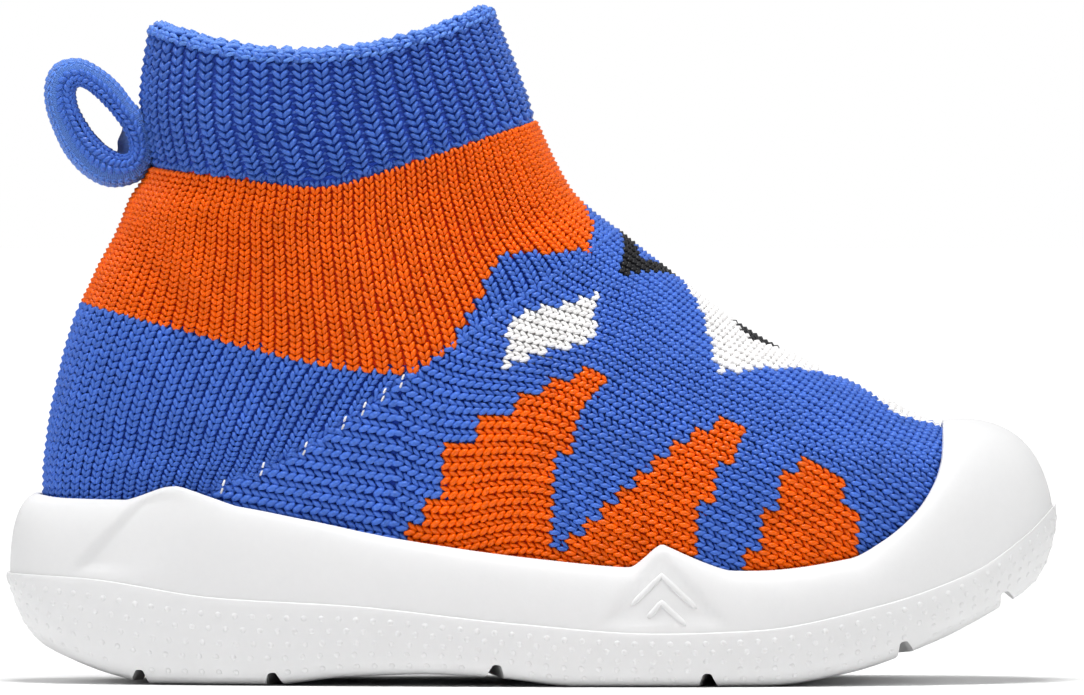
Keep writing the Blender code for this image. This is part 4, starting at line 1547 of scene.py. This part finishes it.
fine_places = np.linspace(0, len(LOOP_OUTER), LOOP_STEPS * 8, endpoint=False)
loop_edges = np.concatenate([round_rows(table, fine_places) for table in (LOOP_OUTER, LOOP_SLOT)], 1)
loop_edges = np.vstack((loop_edges, loop_edges[:1]))
loop_middle = (loop_edges[:, :2] + loop_edges[:, 2:]) / 2
run = np.append(0, np.cumsum(np.linalg.norm(np.diff(loop_middle, axis=0), axis=1)))
LOOP_LENGTH = run[-1]


def loop_edge_rows(lengths):
    return np.stack([np.interp(lengths % LOOP_LENGTH, run, column) for column in loop_edges.T], 1)


def in_space(flat):
    """Points of the side view in the middle plane of the shoe."""
    return np.stack((flat[:, 0], np.zeros(len(flat)), flat[:, 1]), 1)


def loop_steps(count):
    """Middle, outward direction, way along and thickness of the strap at even steps along it."""
    places = np.arange(count) / count * LOOP_LENGTH
    rows = loop_edge_rows(places)
    outer, slot = in_space(rows[:, :2]), in_space(rows[:, 2:])
    step = loop_edge_rows(places + 0.2) - loop_edge_rows(places - 0.2)
    along = unit(in_space(step[:, :2] + step[:, 2:]))
    return (outer + slot) / 2, unit(outer - slot), along, np.linalg.norm(outer - slot, axis=1)


print("Strap path", round(LOOP_LENGTH, 1), "mm")

# %% The strap
STRAP_SINK = 0.08
STRAP_SHEEN_BLUE = (0.090, 0.220, 0.680)  # a finer yarn, made a paler blue as a painted sheen
STRAP_SQUARE = 0.7  # a power below 1 makes the section squarer
# The limb beside the cuff is thicker on the far side, so its dark inner face shows in the slot.
FAR_LEAN = 2.6
CUFF_SIDE_TOP = 74.6
centre, outward, along, thick = loop_steps(LOOP_STEPS)
angle = np.linspace(0, 2 * math.pi, LOOP_SIDES, endpoint=False)
wide = np.sign(np.cos(angle)) * np.abs(np.cos(angle)) ** STRAP_SQUARE
tall = np.sign(np.sin(angle)) * np.abs(np.sin(angle)) ** STRAP_SQUARE
half_thick = outward * (thick / 2 - STRAP_SINK)[:, None]
half_wide = np.array((0, LOOP_HALF - STRAP_SINK, 0))
strap_points = centre[:, None] + half_thick[:, None] * tall[None, :, None] + half_wide * wide[None, :, None]
beside_cuff = ease(outward[:, 0], 0.1, 0.6) * ease(CUFF_SIDE_TOP - centre[:, 2], 0.0, 4.0)
strap_points[..., 0] -= FAR_LEAN * beside_cuff[:, None] * np.clip(-tall, 0, 1) * (wide + 1) / 2
strap = mesh_object("loop_strap", strap_points.reshape(-1, 3),
                    ring_quads(LOOP_STEPS, LOOP_SIDES, cyclic_rings=True), fabric_finish)
grid_uv(strap, LOOP_STEPS, LOOP_SIDES)
point_outwards(strap)
store_dye(strap.data, np.tile(STRAP_SHEEN_BLUE, (len(strap.data.vertices), 1)))
put_on(strap, "loop_knit", "pull_loop")

# %% Stitches on the pull loop
# Columns: place across the side face from slot (-1) to outer edge (+1), turn towards the slot, width
PLAITS = ((-0.22, 0.02, 2.3), (-0.80, -0.70, 1.15))
PLAIT_STEP = 0.90
PLAIT_DEPTH = 1.15
MEAN_THICK = 4.5
count = int(LOOP_LENGTH / PLAIT_STEP)
centre, outward, along, thick = loop_steps(count)
plait_rows = []
for side in (-1, 1):
    sideways = np.array((0, side, 0.0))
    for share, turned, width in PLAITS:
        facing = unit(sideways * math.cos(turned) + outward * math.sin(turned))
        drop = 0.22 + 0.70 * abs(share) ** 5
        points = centre + sideways * (LOOP_HALF - drop) + outward * (thick / 2 * share)[:, None]
        lengths, depths = np.full(count, PLAIT_STEP), np.full(count, PLAIT_DEPTH)
        size = np.stack((thick / MEAN_THICK * width, lengths, depths), 1)
        plait_rows.append([points, facing, along, size, np.tile(BLUE, (count, 1))])
FINE_STEP, FINE_WALES, FINE_DEPTH, FINE_SINK = 0.70, 9, 0.42, 0.20
count = int(LOOP_LENGTH / FINE_STEP)
centre, outward, along, thick = loop_steps(count)
for k in range(FINE_WALES):
    y = (k + 0.5) / FINE_WALES * 2 - 1
    lean = math.asin(y) * 0.85
    facing = unit(outward * math.cos(lean) + np.array((0, math.sin(lean), 0)))
    over = thick / 2 * abs(math.cos(lean)) ** STRAP_SQUARE - FINE_SINK
    points = centre + outward * over[:, None] + np.array((0, LOOP_HALF * y * 0.97, 0))
    size = np.tile((2 * LOOP_HALF / FINE_WALES, FINE_STEP, FINE_DEPTH), (count, 1))
    plait_rows.append([points, facing, along, size, np.tile(STRAP_SHEEN_BLUE, (count, 1))])
put_on(knit("loop_stitches", knit_shape, joined(*plait_rows)), "loop_knit")

# %% [markdown]
# ## Elastic in the gore
# Where heel and foot meet, a white elastic thread shows in small glints between the stitches.

# %% Glints along the gore
GLINTS = (-16.9, -19.3, -21.9, -24.5, -29.6, -35.2, -40.4)  # uneven places along the gore
GLINT_STROKES = ((0.42, 0.95), (-0.62, 0.72))  # rise from the gore line and brightness
GLINT_SIZE = np.array(((0.50, 0.95, 0.50),))
GLINT_SINK = 0.05
glint_line = (
    (0.0, -0.5, -0.25, 0, 0), (0.04, -0.25, 0.0, 0.30, 0.30),
    (0.0, 0.25, 0.0, 0.30, 0.30), (-0.04, 0.5, -0.25, 0, 0),
)
glint_shape = stitch_shape("glint_shape", [glint_line])
glint_rows = []
for side in (-1, 1):
    for x in GLINTS:
        for rise, bright in GLINT_STROKES:
            hit = side_cast(x + 0.25 * rise, gore_height(x) + rise, side)
            facing = hit[0, 3:]
            wale = unit(np.cross(facing, np.cross((0.45, 0, 0.9), facing)))
            glint_rows.append([hit[:1, :3] - facing * GLINT_SINK, facing[None], wale[None],
                               GLINT_SIZE, np.array((WHITE,)) * bright])
put_on(knit("gore_elastic", glint_shape, joined(*glint_rows)), "upper_knit")

# %% [markdown]
# ## Clearing up
# The shapes that the stitches and dots were copied from are no longer needed.

# %% Finish
for shape in (knit_shape, outer_shape, inner_shape, rib_shape, glint_shape, dome):
    bpy.data.objects.remove(shape, do_unlink=True)
